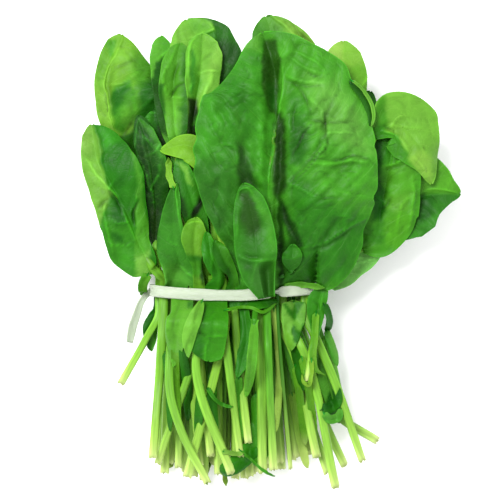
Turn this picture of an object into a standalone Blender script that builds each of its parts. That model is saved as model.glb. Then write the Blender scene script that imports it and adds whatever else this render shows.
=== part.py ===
"""Bunch of fresh spinach, tied with a flat plastic tape and lying on its back.

Leaf tips point to +Y, the cut stem ends to -Y, and the table is the plane z = 0.
Every leafy stem is one closed solid: a petiole that runs through the tie and the
blade that it carries. Sizes in the tables are in millimetres.
"""

import math
import random

import bpy
import numpy as np

MM = 0.001

# Driving dimensions, in millimetres.
ORIGIN_X = 23.6            # tie's middle to the middle of the bounding box
ORIGIN_Y = 24.0
TIE_HEIGHT = 32.0          # height of the bundle's middle where it is tied
PITCH_X = 6.9              # stems lie packed in rows inside the tie
PITCH_Z = 6.0
PETIOLE_RADIUS = 2.5
BLADE_THICKNESS = 0.8
RIB_DEPTH = 1.6            # how far the midrib stands out under a blade
BAND_WIDTH = 8.0
BAND_THICKNESS = 0.8
BAND_HALF_SPAN = 52.6      # inside of the band, across the bundle
BAND_HALF_DEPTH = 17.8     # inside of the band, through the bundle
BAND_SQUARENESS = 2.6      # exponent of the superellipse that the band follows
BAND_SAG = 3.0             # the band's middle hangs lower than its two ends
BAND_SEGMENTS = 28
TAIL = ((-57.0, -1.0, 25.0, 5.0, 1.6),              # rings of the free tail, from the knot
        (-59.5, -5.0, 27.0, 2.2, 2.0),              # down: x, y, z, width, half thickness
        (-61.5, -11.0, 27.0, 4.2, 0.5), (-63.5, -19.0, 25.0, 5.4, 0.4),
        (-66.0, -28.0, 22.0, 5.6, 0.4), (-68.0, -34.0, 20.0, 5.0, 0.4))
STEM_END_HEIGHT = 2.3      # height of the lowest row's cut ends
STEM_END_RISE = 9.0        # how much higher each row's cut ends lie than the row below
TIE_ZONE = 7.5             # the stems run straight this far each side of the tie

HANGING = None             # no stem below: the leaf hangs from the tie
STUB = 8.6                 # a hanging leaf's petiole ends this far above the tie
HIDDEN_SEED = 11           # draws the small differences between the leaves inside
LEAN_LENGTH = 4.0          # run over which a stem turns towards its cut end, below the tie

# Form of a blade along its length, from 0 at the base to 1 at the tip.
BLADE_STATIONS = (0.04, 0.2, 0.4, 0.6, 0.8, 0.93)   # where half-widths are given
BLADE_ROWS = (0.04, 0.15, 0.3125, 0.475, 0.6375, 0.8, 0.92, 0.98, 1.0)
FULL_FOLD_AT = 0.2         # the fold at the midrib reaches its full angle here
FOLD_LOSS = 0.35           # share of the fold that is lost by the tip
LOBE_END = 0.35            # the base's lobes reach back from here
WAVE_TURNS = 9.0           # radians of edge wave from base to tip
WAVE_SHIFT = 2.1           # radians between the two edges' waves
SLOPE_STEPS = 4            # steps in which a half's cross-section is added up
STEEPEST = 0.35            # least cosine of a blade's slope when its thickness is taken

# Laying the leaves on each other.
CELL = 0.6                 # cell of the height map
MAP_LOW = (-120.0, -140.0)
MAP_SIZE = (290.0, 330.0)
NOTHING = -1000.0          # height of a cell with nothing in it
CLEARANCE = 1.3            # air left between a leaf and what it lies on
LIFT_SLOPE = 0.45          # how steeply a leaf may bend to clear what is below
TIE_SLOPE = 0.7            # how steeply a stem may leave its row beside the tie
ROUNDS = 4                 # times a leaf is lifted and tried again
SOFT_ROUNDS = 2            # of these, how many also soften the lift
TABLE = 0.0

GREENS = {
    "light": (0.30, 0.52, 0.09),
    "middle": (0.12, 0.36, 0.06),
    "dark": (0.04, 0.19, 0.04),
}


# ---------------------------------------------------------------- leafy stems

def leaf(name, row, column, end, blade, left, right, heights=(4, 9, 3), fold=(18, 18),
         curl=(-20, -20), lobe=(0, 0), below=(), above=(), radius=PETIOLE_RADIUS,
         columns=2, tone="middle", wave=1.5, tucked=False):
    """One row of the table of leafy stems.

    row and column: place inside the tie. end: the cut end. blade: midrib from base to
    tip. left, right: half-widths at BLADE_STATIONS, facing the tip. heights: base, middle
    and tip above the stem's place in the tie. fold and curl: angle of each half at the
    midrib, and its change out to the edge. lobe: how far the base's edges reach back.
    below, above: points that the petiole passes on either side of the tie. radius: the
    petiole's. columns: grid columns in each half. tone: key of GREENS. wave: height of
    the edge's waves. tucked: the leaf lies over the tie, its tip held under another leaf.
    """
    return dict(name=name, row=row, column=column, end=end, blade=blade, left=left,
                right=right, heights=heights, fold=fold, curl=curl, lobe=lobe, below=below,
                above=above, radius=radius, columns=columns, tone=tone, wave=wave,
                tucked=tucked)


def hidden_leaves():
    """The leaves inside and under the bunch, fanned out by a rule in three layers."""
    draw = random.Random(HIDDEN_SEED)
    layers = [(-2, [-4, -3, -2, -1, 0, 1, 2, 3, 4]),
              (-1, [-5.5, -4.5, -3.5, -2.5, -1.5, -0.5, 0.5, 1.5, 2.5, 3.5, 4.5, 5.5]),
              (0, [-2, -1, 0, 1, 2, 3])]
    leaves = []
    for row, columns in layers:
        for count in list(range(0, len(columns), 2)) + list(range(1, len(columns), 2)):
            column = columns[count]
            share = column / max(columns)
            reach = (84, 88, 40)[row + 2]
            tip_x = 16 + reach * share + draw.uniform(-4, 4)
            tip_y = 136 - 0.0056 * (tip_x - 14) ** 2 - draw.uniform(0, 16)
            start_x = column * PITCH_X
            length = draw.uniform(66, 80)
            run = math.hypot(tip_x - start_x, tip_y)
            base = 1 - length / run
            bow = draw.uniform(-4, 4)
            points = []
            for t in (0, 0.35, 0.7, 1):
                along = base + (1 - base) * t
                points.append((start_x + (tip_x - start_x) * along + bow * math.sin(math.pi * t),
                               tip_y * along))
            half = draw.uniform(17, 21)
            widths = [half * k for k in (0.35, 0.85, 1.0, 0.94, 0.72, 0.45)]
            end_x = column * 9.2 + draw.uniform(-2, 2)
            end = (end_x, -119 + 0.006 * end_x ** 2 + draw.uniform(-6, 6))
            on_table = row == -2
            leaves.append(leaf(
                f"{('under', 'inner', 'core')[row + 2]}_leaf_{count + 1:02d}", row, column, end,
                points, widths, widths,
                heights=(-16, -21, -20) if on_table else (-8, -4, -4),
                fold=(3, 3) if on_table else (5, 5),
                curl=(8, 8) if on_table else (4, 4),
                tone="dark", wave=0 if on_table else 1.0))
    return leaves


BACK_LEAVES = [
    leaf("left_hanging_leaf", -1, -6.5, HANGING, [(-48, -13), (-54, -24), (-54, -39)],
         (4, 5, 5, 5, 4, 2), (4, 5, 5, 4, 3, 2), heights=(1, 1, -4), tone="dark"),
    leaf("ragged_low_leaf", 0, 6, (71, -113), [(59, 13), (69, 19), (81, 28), (94, 42)],
         (8, 16, 20, 20, 15, 9), (10, 11, 11, 11, 8, 6), heights=(3, 6, 6), tone="light",
         below=((50, -45), (57, -81)), above=((45, 12),), lobe=(0, 6)),
    leaf("right_far_leaf", 0, 5, (92, -97), [(90, 38), (108, 54), (124, 61), (144, 62)],
         (12, 28, 36, 33, 21, 8), (10, 19, 22, 21, 12, 5), heights=(4, 12, 8),
         fold=(30, 18), curl=(-25, -10), below=((40, -25), (66, -80)),
         above=((43, 17), (66, 29)), radius=2.2, tone="dark", columns=3),
    leaf("dark_gap_leaf", 0, 4, (60, -118), [(58, 50), (73, 88), (87, 127)],
         (6, 11, 14, 13, 11, 7), (6, 11, 14, 13, 11, 6), tone="dark"),
    leaf("left_top_leaf", 0, -6, (-45, -118),
         [(-66, 80), (-75, 100), (-80, 118), (-81, 133), (-78, 147), (-72, 163)],
         (4, 7, 8, 8, 8, 7), (14, 34, 41, 43, 32, 16), heights=(6, 16, 10),
         fold=(-10, 30), curl=(-20, -45), columns=3, tone="light"),
    leaf("left_shade_leaf", 0, -5, (-36, -114), [(-45, 50), (-48, 80), (-51, 114)],
         (5, 7, 9, 9, 8, 6), (5, 7, 9, 9, 8, 6), tone="dark"),
    leaf("top_notch_leaf", 0, -4, (-26, -120), [(-38, 90), (-43, 125), (-47, 162)],
         (4, 7, 8, 8, 8, 6), (4, 8, 9, 10, 9, 6), tone="dark"),
    leaf("left_dark_leaf", 0, -7, (-73, -60),
         [(-50, 26), (-50, 56), (-53, 84), (-60, 111)],
         (3, 5, 6, 8, 8, 5), (4, 7, 9, 10, 8, 5), below=((-56, -30),), heights=(8, 14, 10),
         fold=(10, 20), tone="dark"),
    leaf("right_hanging_leaf", 0, 7, HANGING, [(56, -32), (61, -60), (67, -85)],
         (4, 6, 7, 7, 6, 3), (4, 6, 7, 6, 5, 3), heights=(2, 4, 0), tone="middle"),
]

MIDDLE_LEAVES = [
    leaf("top_leaf_left", 1, -1.5, (-10, -118),
         [(-16, 88), (-15, 118), (-18, 146), (-30, 172)],
         (6, 14, 20, 25, 22, 14), (5, 12, 18, 23, 22, 13), heights=(2, 12, 8),
         fold=(10, 25), curl=(-25, -30), tone="middle", columns=3),
    leaf("rolled_top_leaf", 1, -4.5, (-22, -112),
         [(-35, 84), (-37, 105), (-38, 130), (-34, 156)],
         (3, 5, 7, 9, 9, 7), (3, 7, 9, 10, 10, 8), heights=(4, 14, 10), fold=(30, 30),
         tone="light"),
    leaf("pale_top_leaf", 1, -3.5, (-15, -106),
         [(-27, 92), (-25, 113), (-21, 138), (-20, 162)],
         (3, 3, 5, 9, 10, 8), (3, 7, 9, 13, 13, 10), heights=(6, 18, 14), fold=(30, 25),
         tone="light"),
    leaf("top_leaf_right", 1, 0.5, (1, -119),
         [(33, 68), (35, 108), (31, 140), (20, 174)],
         (8, 20, 26, 24, 17, 12), (8, 20, 28, 28, 23, 14), heights=(2, 12, 10),
         fold=(12, 18), tone="light", columns=3),
    leaf("right_top_leaf", 1, 3.5, (53, -107), [(48, 66), (59, 105), (67, 135), (69, 158)],
         (6, 13, 16, 16, 13, 9), (6, 15, 19, 19, 17, 12), heights=(2, 14, 12),
         tone="light", below=((34, -31),)),
    leaf("right_wide_leaf", 1, 6.5, (82, -109), [(88, 31), (93, 52), (98, 78), (103, 113)],
         (22, 24, 24, 24, 20, 12), (18, 24, 23, 20, 16, 11), heights=(4, 12, 12),
         fold=(25, 25), curl=(-20, -30), below=((52, -30), (64, -58)), columns=3,
         lobe=(8, 7)),
    leaf("right_drooping_leaf", 1, 4.5, (65, -126),
         [(84, 99), (99, 105), (114, 94), (121, 82), (125, 68)],
         (16, 26, 25, 16, 7, 4), (10, 16, 19, 17, 9, 4), heights=(12, 16, 2),
         fold=(5, 5), curl=(-35, -20), above=((58, 34), (76, 72)), below=((42, -34),),
         tone="light"),
    leaf("middle_green_leaf", 1, -2.5, (-49, -111),
         [(-19, 26), (-24, 48), (-30, 68), (-35, 84)],
         (4, 6, 8, 8, 7, 4), (4, 6, 7, 7, 6, 4)),
    leaf("yellow_green_leaf", 1, -0.5, (-30, -119),
         [(-12, 62), (-16, 80), (-28, 91), (-46, 89)],
         (3, 6, 9, 10, 8, 4), (3, 6, 8, 8, 6, 3), heights=(4, 8, 6), tone="light"),
    leaf("left_outer_leaf", 1, -6.5, (-52, -107),
         [(-52, 15), (-61, 31), (-67, 48), (-77, 66), (-87, 84), (-90, 105)],
         (14, 20, 19, 15, 10, 7), (5, 8, 14, 23, 22, 16), heights=(6, 16, 14),
         fold=(15, 25), curl=(-25, -40), columns=3, lobe=(4, 0)),
    leaf("front_left_leaf", 1, -5.5, (-17, -122), [(-33, 12), (-37, 28), (-38, 48), (-36, 68)],
         (12, 12, 11, 8, 5, 3), (8, 9, 7, 5, 4, 2), heights=(3, 8, 8),
         below=((-41, -40), (-40, -69), (-34, -88)), fold=(12, 12), lobe=(11, 10)),
    leaf("band_cover_leaf", 1, 5.5, (47, -57), [(50, -29), (52, -8), (53, 11)],
         (4, 7, 9, 9, 8, 6), (4, 6, 8, 9, 9, 6), heights=(8, 10, 8), fold=(6, 6),
         tucked=True),
    leaf("low_hanging_leaf", 1, 1.5, HANGING, [(19, -50), (19, -80), (17, -113)],
         (3, 5, 6, 7, 6, 3), (3, 5, 6, 6, 5, 3), heights=(-3, -2, -4)),
    leaf("great_leaf", 1, 2.5, (18, -116),
         [(18, 14), (21, 35), (22, 62), (25, 95), (28, 127), (18, 162)],
         (18, 35, 48, 49, 42, 20), (42, 61, 68, 64, 43, 22), heights=(6, 32, 30),
         fold=(34, 26), curl=(-55, -48), radius=2.9, columns=4, wave=2.0, lobe=(14, 15)),
]

FRONT_LEAVES = [
    leaf("olive_leaf", 2, -3, (-2, -116), [(-23, 13), (-25, 24), (-25, 36), (-24, 46)],
         (4, 7, 7, 7, 6, 4), (4, 6, 8, 8, 7, 5), heights=(4, 6, 4), tone="light",
         below=((-24, -47),)),
    leaf("slim_front_leaf", 2, -1, (4, -106), [(-10, 10), (-14, 20), (-17, 37)],
         (4, 5, 5, 5, 4, 2), (4, 5, 5, 4, 3, 2), heights=(6, 8, 6), below=((-3, -50),),
         lobe=(4, 4)),
    leaf("low_strip_leaf", 2, 0, (9, -97), [(-1, 10), (-6, 19), (-12, 32)],
         (3, 4, 5, 5, 4, 2), (3, 4, 5, 5, 4, 2), heights=(6, 8, 6), lobe=(4, 4)),
    leaf("small_front_leaf", 2, 4, (36, -114), [(31.5, 18), (37, 25), (37, 35)],
         (4, 6, 6, 5, 4, 2), (4, 6, 6, 5, 4, 2), heights=(17, 16, 13)),
    leaf("cupped_front_leaf", 2, 3, (25, -114), [(24.5, 15), (21, 31), (12, 50), (4, 66)],
         (11, 15, 14, 10, 7, 4), (5, 6, 7, 7, 6, 4), heights=(14, 20, 16),
         fold=(15, 20), curl=(-10, 10), lobe=(15, 5), tone="dark"),
    leaf("band_front_leaf", 2, -2, HANGING, [(-12, -10), (-13, -24), (-16, -44)],
         (8, 11, 12, 12, 12, 10), (8, 11, 13, 13, 13, 10), heights=(6, 8, 4), fold=(6, 6)),
    leaf("left_band_leaf", 2, -4, HANGING, [(-33, -13), (-36, -28), (-38, -48)],
         (7, 8, 7, 5, 4, 2), (7, 9, 8, 6, 4, 2), heights=(4, 6, 2), tone="light"),
    leaf("centre_hanging_leaf", 2, 1, HANGING, [(6.5, -14), (8, -28), (2, -55)],
         (3, 4, 5, 5, 4, 2), (3, 4, 4, 4, 3, 2), heights=(3, 5, 2)),
    leaf("narrow_hanging_leaf", 2, 2, HANGING, [(13, -18), (12, -36), (8, -67)],
         (2, 3, 3, 3, 3, 2), (2, 3, 3, 3, 3, 2), heights=(4, 6, 4), tone="light"),
]

ALL_LEAVES = hidden_leaves() + BACK_LEAVES + MIDDLE_LEAVES + FRONT_LEAVES


# ------------------------------------------------------------- curves, rings

def smooth_path(points, samples):
    """Points read off a smooth curve through the given ones, at chord-length samples."""
    points = np.array(points, float)
    steps = np.maximum(np.linalg.norm(np.diff(points, axis=0), axis=1), 1e-6)
    knots = np.concatenate([[0], np.cumsum(steps)])
    slopes = np.diff(points, axis=0) / steps[:, None]
    tangents = np.empty_like(points)
    tangents[0] = slopes[0]
    tangents[-1] = slopes[-1]
    blend = (steps[:-1] / (steps[:-1] + steps[1:]))[:, None]
    tangents[1:-1] = slopes[:-1] * (1 - blend) + slopes[1:] * blend
    samples = np.asarray(samples, float) * knots[-1]
    index = np.clip(np.searchsorted(knots, samples, side="right") - 1, 0, len(steps) - 1)
    width = steps[index][:, None]
    t = ((samples - knots[index]) / steps[index])[:, None]
    return ((2 * t**3 - 3 * t**2 + 1) * points[index]
            + (t**3 - 2 * t**2 + t) * width * tangents[index]
            + (3 * t**2 - 2 * t**3) * points[index + 1]
            + (t**3 - t**2) * width * tangents[index + 1])


def slot(spec):
    """Where a stem lies inside the tie."""
    return spec["column"] * PITCH_X, TIE_HEIGHT + spec["row"] * PITCH_Z


def stem_points(spec):
    """Hand-laid points of the petiole from its cut end to the blade's base."""
    x, z = slot(spec)
    base_x, base_y = spec["blade"][0]
    base_z = z + spec["heights"][0]
    base = (base_x, base_y, base_z)
    if spec["tucked"]:
        half_x, half_y = (spec["end"][0] + base_x) / 2, (spec["end"][1] + base_y) / 2
        return [(*spec["end"], base_z)], [(half_x, half_y, base_z)] * 2, [base]
    if spec["end"] is HANGING:
        before = [(x, STUB, z)]
        tie = [(x, TIE_ZONE, z), (x, -TIE_ZONE, z)]
        return before, tie, [base]
    end_x, end_y = spec["end"]
    end_z = STEM_END_HEIGHT + (spec["row"] + 2) * STEM_END_RISE
    before = [(end_x, end_y, end_z)]
    for way in reversed(spec["below"]):
        share = way[1] / end_y
        before.append((way[0], way[1], z + (end_z - z) * share))
    lean_in = 0 if spec["below"] else (end_x - x) / abs(end_y)
    before.append((x + lean_in * LEAN_LENGTH, -1.9 * TIE_ZONE, z + (end_z - z) * 0.06))
    tie = [(x, -TIE_ZONE, z), (x, TIE_ZONE, z)]
    after = [(wx, wy, z + spec["heights"][0] * wy / base_y) for wx, wy in spec["above"]]
    return before, tie, after + [base]


def half_width(spec, side, t):
    """Half-width of the blade at t, zero at the tip and the petiole's at the base."""
    last = BLADE_STATIONS[-1]
    if t > last:
        return spec[side][-1] * math.sqrt((1 - t) / (1 - last))
    places = (0.0,) + BLADE_STATIONS
    return np.interp(t, places, (spec["radius"],) + tuple(spec[side]))


def leaf_grid(spec):
    """Grid of points along a leafy stem: x, y, middle height and half thickness.

    Rows run from the cut end to the tip. Columns run from the left edge to the right
    edge, which both have no thickness, so the top and the underside share them.
    """
    columns = spec["columns"]
    across = np.linspace(-1, 1, 2 * columns + 1)
    before, tie, after = stem_points(spec)
    stem_steps = (1, 2) if spec["end"] is HANGING or spec["tucked"] else (4, 3)
    lower = smooth_path(before + [tie[0]], np.linspace(0, 1, stem_steps[0] + 1))
    upper = smooth_path([tie[1]] + after, np.linspace(0, 1, stem_steps[1] + 1))
    x, z = slot(spec)
    base_lift, crest_lift, tip_lift = spec["heights"]
    blade_xy = np.array(spec["blade"], float)
    run = np.concatenate([[0], np.cumsum(np.linalg.norm(np.diff(blade_xy, axis=0), axis=1))])
    share = run / run[-1]
    climb = np.interp(share, (0, 0.5, 1), (base_lift, crest_lift, tip_lift))
    blade_points = np.column_stack([blade_xy, z + climb])
    path = np.vstack([lower, upper, smooth_path(blade_points, BLADE_ROWS)])
    count_stem = len(lower) + len(upper)
    t_all = np.concatenate([np.zeros(count_stem), BLADE_ROWS])

    tangent = np.gradient(path, axis=0)
    flat = tangent[:, :2].copy()
    normal = np.zeros((len(path), 2))
    previous = None
    for i, (tx, ty) in enumerate(flat):
        size = math.hypot(tx, ty)
        if previous is not None and size < 0.25 * np.linalg.norm(tangent[i]):
            n = previous
        else:
            n = np.array((-ty, tx)) / max(size, 1e-9)
            if previous is not None and n @ previous < 0:
                n = -n
        normal[i] = n
        previous = n

    grid = np.zeros((len(path), len(across), 4))
    for i, (point, n, t) in enumerate(zip(path, normal, t_all)):
        for j, u in enumerate(across):
            side = "left" if u < 0 else "right"
            k = 0 if u < 0 else 1
            if i < count_stem:
                r = spec["radius"]
                out = -r * math.sin(u * math.pi / 2)
                thick = r * math.cos(u * math.pi / 2)
                rise = 0.0
            else:
                w = half_width(spec, side, t)
                start = math.radians(spec["fold"][k])
                bend = math.radians(spec["curl"][k])
                grow = min(1.0, t / FULL_FOLD_AT) * (1 - FOLD_LOSS * t)
                start *= grow
                bend *= grow
                steps = np.linspace(0, abs(u), SLOPE_STEPS + 1)
                mids = (steps[1:] + steps[:-1]) / 2
                part = np.tan(start + bend * mids)
                rise = w * float(np.sum(part * np.diff(steps)))
                turn = WAVE_TURNS * t + WAVE_SHIFT * k + spec["column"]
                rise += spec["wave"] * u * u * math.sin(turn)
                angle = start + bend * abs(u)
                out = -w * u
                thick = BLADE_THICKNESS / 2 / max(math.cos(angle), STEEPEST)
                if abs(u) == 1:
                    thick = 0.0
                rib = RIB_DEPTH * (1 - t)
                if u == 0:
                    thick += rib / 2
                    rise -= rib / 2
            back = 0.0
            if i >= count_stem:
                back = spec["lobe"][k] * abs(u) * max(0.0, 1 - t / LOBE_END) ** 2
            tan_xy = np.array((n[1], -n[0]))
            place = point[:2] + n * out - tan_xy * back
            grid[i, j] = (place[0], place[1], point[2] + rise, thick)
    grid[-1, :, :3] = path[-1]
    grid[-1, :, 3] = 0
    return grid, count_stem


# ------------------------------------------------- laying the leaves in a pile

class Pile:
    """Height map of the leaves laid so far, on which the next leaf is laid."""

    def __init__(self):
        self.shape = (int(MAP_SIZE[0] / CELL), int(MAP_SIZE[1] / CELL))
        self.heights = np.full(self.shape, NOTHING)
        self.with_band = self.heights.copy()
        self.add_band()

    def cells(self, x, y):
        i = np.clip(((x - MAP_LOW[0]) / CELL).astype(int), 0, self.shape[0] - 1)
        j = np.clip(((y - MAP_LOW[1]) / CELL).astype(int), 0, self.shape[1] - 1)
        return i, j

    def add_band(self):
        """The band's upper run, a little thicker and wider than it is."""
        reach = BAND_HALF_SPAN + 2
        side = BAND_WIDTH / 2 + 0.5
        for x in np.arange(-reach, reach + 0.1, 0.4):
            inside = max(0.0, 1 - (abs(x) / reach) ** BAND_SQUARENESS)
            top = TIE_HEIGHT + (BAND_HALF_DEPTH + 1.6) * inside ** (1 / BAND_SQUARENESS)
            sag = band_sag(x)
            for y in np.arange(-side, side + 0.1, 0.4):
                i, j = self.cells(np.array([x]), np.array([y - sag]))
                self.with_band[i, j] = top

    def samples(self, grid, lift):
        """Points inside every triangle of the grid, with their rows and columns."""
        out = []
        for i in range(grid.shape[0] - 1):
            for j in range(grid.shape[1] - 1):
                corners = grid[i:i + 2, j:j + 2].reshape(4, 4)
                lifts = lift[i:i + 2, j:j + 2].reshape(4)
                reach = np.ptp(corners[:, :2], axis=0).max()
                n = int(np.clip(reach / (0.7 * CELL), 2, 60))
                a, b = np.meshgrid((np.arange(n) + 0.5) / n, (np.arange(n) + 0.5) / n)
                a, b = a.ravel(), b.ravel()
                first = a + b < 1
                weights = np.zeros((len(a), 4))
                weights[first, 0] = (1 - a - b)[first]
                weights[first, 1] = b[first]
                weights[first, 2] = a[first]
                second = ~first
                weights[second, 3] = (a + b - 1)[second]
                weights[second, 1] = (1 - a)[second]
                weights[second, 2] = (1 - b)[second]
                points = weights @ corners
                out.append((i, j, points, weights @ lifts))
        return out

    def need(self, grid, lift, count_stem):
        """How far each grid point must still rise to clear the pile."""
        spread = np.full(self.shape, NOTHING)
        spread_band = spread.copy()
        for source, target in ((self.heights, spread), (self.with_band, spread_band)):
            for di in (-1, 0, 1):
                for dj in (-1, 0, 1):
                    np.maximum(target, np.roll(source, (di, dj), (0, 1)), out=target)
        short = np.full(grid.shape[:2], -50.0)
        for i, j, points, lifts in self.samples(grid, lift):
            ci, cj = self.cells(points[:, 0], points[:, 1])
            field = spread if i < count_stem - 1 else spread_band
            gap = field[ci, cj] + CLEARANCE - (points[:, 2] - points[:, 3] + lifts)
            worst = gap.max()
            block = short[i:i + 2, j:j + 2]
            np.maximum(block, worst, out=block)
        return short

    def lay(self, grid, count_stem, pinned):
        """Lift a leaf, smoothly along and across, until it clears the pile."""
        lift = np.zeros(grid.shape[:2])
        flat = grid[:, :, :2]
        middle = grid[:, grid.shape[1] // 2, :3]
        run = np.concatenate([[0], np.cumsum(np.linalg.norm(np.diff(middle, axis=0), axis=1))])
        if pinned.any():
            tie_run = run[pinned[:, 0]]
            from_tie = np.maximum(np.maximum(run - tie_run.max(), tie_run.min() - run), 0)
            limit = (TIE_SLOPE * from_tie)[:, None]
        else:
            limit = np.inf
        for turn in range(ROUNDS):
            short = self.need(grid, lift, count_stem)
            short[pinned] = -50
            wanted = np.maximum(short, 0)
            if wanted.max() <= 0.01:
                break
            spread = wanted.copy()
            for i in range(grid.shape[0]):
                for j in range(grid.shape[1]):
                    if wanted[i, j] > 0:
                        away = np.linalg.norm(flat - flat[i, j], axis=2)
                        reach = wanted[i, j] - LIFT_SLOPE * away
                        np.maximum(spread, reach, out=spread)
            if turn < SOFT_ROUNDS:
                spread = np.maximum(spread, soften(spread))
            lift = np.minimum(lift + spread, limit)
            lift[:count_stem] = lift[:count_stem].max(axis=1, keepdims=True)
            lift[-1] = lift[-1].max()
            lift[pinned] = 0
        grid[:, :, 2] += lift

    def add(self, grid):
        for _, _, points, _ in self.samples(grid, np.zeros(grid.shape[:2])):
            ci, cj = self.cells(points[:, 0], points[:, 1])
            top = points[:, 2] + points[:, 3]
            np.maximum.at(self.heights, (ci, cj), top)
            np.maximum.at(self.with_band, (ci, cj), top)


def soften(field):
    """The field averaged with its neighbours along and across."""
    padded = np.pad(field, 1, mode="edge")
    return (padded[1:-1, 1:-1] * 2 + padded[:-2, 1:-1] + padded[2:, 1:-1]
            + padded[1:-1, :-2] + padded[1:-1, 2:]) / 6


def band_sag(x):
    """How far the band's middle line hangs towards the cut ends at x."""
    return BAND_SAG * (1 - (x / BAND_HALF_SPAN) ** 2) if abs(x) < BAND_HALF_SPAN else 0.0


def laid_leaves():
    """Every leaf's grid after the pile is laid, lowest first."""
    pile = Pile()
    laid = []
    for spec in ALL_LEAVES:
        grid, count_stem = leaf_grid(spec)
        pinned = np.zeros(grid.shape[:2], bool)
        middle_y = grid[:count_stem, spec["columns"], 1]
        pinned[:count_stem][abs(middle_y) < TIE_ZONE + 0.1] = not spec["tucked"]
        pile.lay(grid, count_stem, pinned)
        low = grid[:, :, 2] - grid[:, :, 3]
        sunk = np.minimum(low - TABLE, 0)
        grid[:, :, 2] -= sunk
        pile.add(grid)
        laid.append((spec, grid))
    return laid


# ------------------------------------------------------------------- meshes

def place(x, y, z):
    return ((x - ORIGIN_X) * MM, (y - ORIGIN_Y) * MM, z * MM)


def add_object(name, vertices, faces, colour, roughness):
    mesh = bpy.data.meshes.new(name)
    mesh.from_pydata(vertices, [], faces)
    mesh.validate()
    material = bpy.data.materials.new(name)
    material.use_nodes = True
    shader = material.node_tree.nodes["Principled BSDF"]
    shader.inputs["Base Color"].default_value = (*colour, 1)
    shader.inputs["Roughness"].default_value = roughness
    mesh.materials.append(material)
    mesh.shade_smooth()
    obj = bpy.data.objects.new(name, mesh)
    bpy.context.scene.collection.objects.link(obj)
    return obj


def leaf_mesh(spec, grid):
    """Closed solid between the top and the underside of a leaf's grid."""
    rows, columns = grid.shape[:2]
    vertices = []
    top = {}
    under = {}
    for i in range(rows - 1):
        for j in range(columns):
            x, y, z, thick = grid[i, j]
            top[i, j] = len(vertices)
            vertices.append(place(x, y, z + thick))
            if j in (0, columns - 1):
                under[i, j] = top[i, j]
            else:
                under[i, j] = len(vertices)
                vertices.append(place(x, y, z - thick))
    tip = len(vertices)
    vertices.append(place(*grid[-1, 0, :3]))
    faces = []
    for i in range(rows - 2):
        for j in range(columns - 1):
            a, b, c, d = (i, j), (i, j + 1), (i + 1, j), (i + 1, j + 1)
            faces.append((top[a], top[b], top[c]))
            faces.append((top[b], top[d], top[c]))
            faces.append((under[a], under[c], under[b]))
            faces.append((under[b], under[c], under[d]))
    last = rows - 2
    for j in range(columns - 1):
        faces.append((top[last, j], top[last, j + 1], tip))
        faces.append((under[last, j + 1], under[last, j], tip))
    for j in range(columns - 1):
        cap = [top[0, j + 1], top[0, j], under[0, j], under[0, j + 1]]
        faces.append(tuple(dict.fromkeys(cap)))
    return add_object(spec["name"], vertices, faces, GREENS[spec["tone"]], 0.5)


def tie_band():
    """Closed ribbon round the bundle, with one free tail drawn out of its left end."""
    segments = BAND_SEGMENTS
    vertices = []
    for k in range(segments):
        angle = 2 * math.pi * k / segments
        c, s = math.cos(angle), math.sin(angle)
        power = 2 / BAND_SQUARENESS
        for extra in (0.0, BAND_THICKNESS):
            x = (BAND_HALF_SPAN + extra) * math.copysign(abs(c) ** power, c)
            z = (BAND_HALF_DEPTH + extra) * math.copysign(abs(s) ** power, s)
            sag = band_sag(x)
            for y in (-BAND_WIDTH / 2, BAND_WIDTH / 2):
                vertices.append(place(x, y - sag, TIE_HEIGHT + z))
    faces = []
    left = segments // 2
    for k in range(segments):
        a = 4 * k
        b = 4 * ((k + 1) % segments)
        faces.append((a, b, b + 1, a + 1))
        if k != left:
            faces.append((a + 3, b + 3, b + 2, a + 2))
        faces.append((a + 2, b + 2, b, a))
        faces.append((a + 1, b + 1, b + 3, a + 3))
    a = 4 * left
    b = 4 * (left + 1)
    ring = [b + 2, a + 2, a + 3, b + 3]
    for x, y, z, wide, thick in TAIL:
        start = len(vertices)
        half = wide / 2
        vertices += [place(x - half, y, z - thick), place(x + half, y, z - thick),
                     place(x + half, y, z + thick), place(x - half, y, z + thick)]
        new = [start, start + 1, start + 2, start + 3]
        faces += [(ring[q], ring[(q + 1) % 4], new[(q + 1) % 4], new[q]) for q in range(4)]
        ring = new
    faces.append(tuple(ring))
    return add_object("tie_band", vertices, faces, (0.86, 0.90, 0.84), 0.35)


def build():
    for obj in list(bpy.data.objects):
        bpy.data.objects.remove(obj, do_unlink=True)
    for spec, grid in laid_leaves():
        leaf_mesh(spec, grid)
    tie_band()


build()
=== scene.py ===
"""Bunch of fresh spinach, tied with white plastic tape and lying on a pale table.

Leaf tips point to +Y, the cut stem ends to -Y, and the table is the plane z = 0.
Sizes are in millimetres until a mesh is finished. The first sections measure from the
middle of the tie, and BUNCH_MIDDLE is where the middle of the whole bunch is from there.
"""

import math
import random

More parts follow.
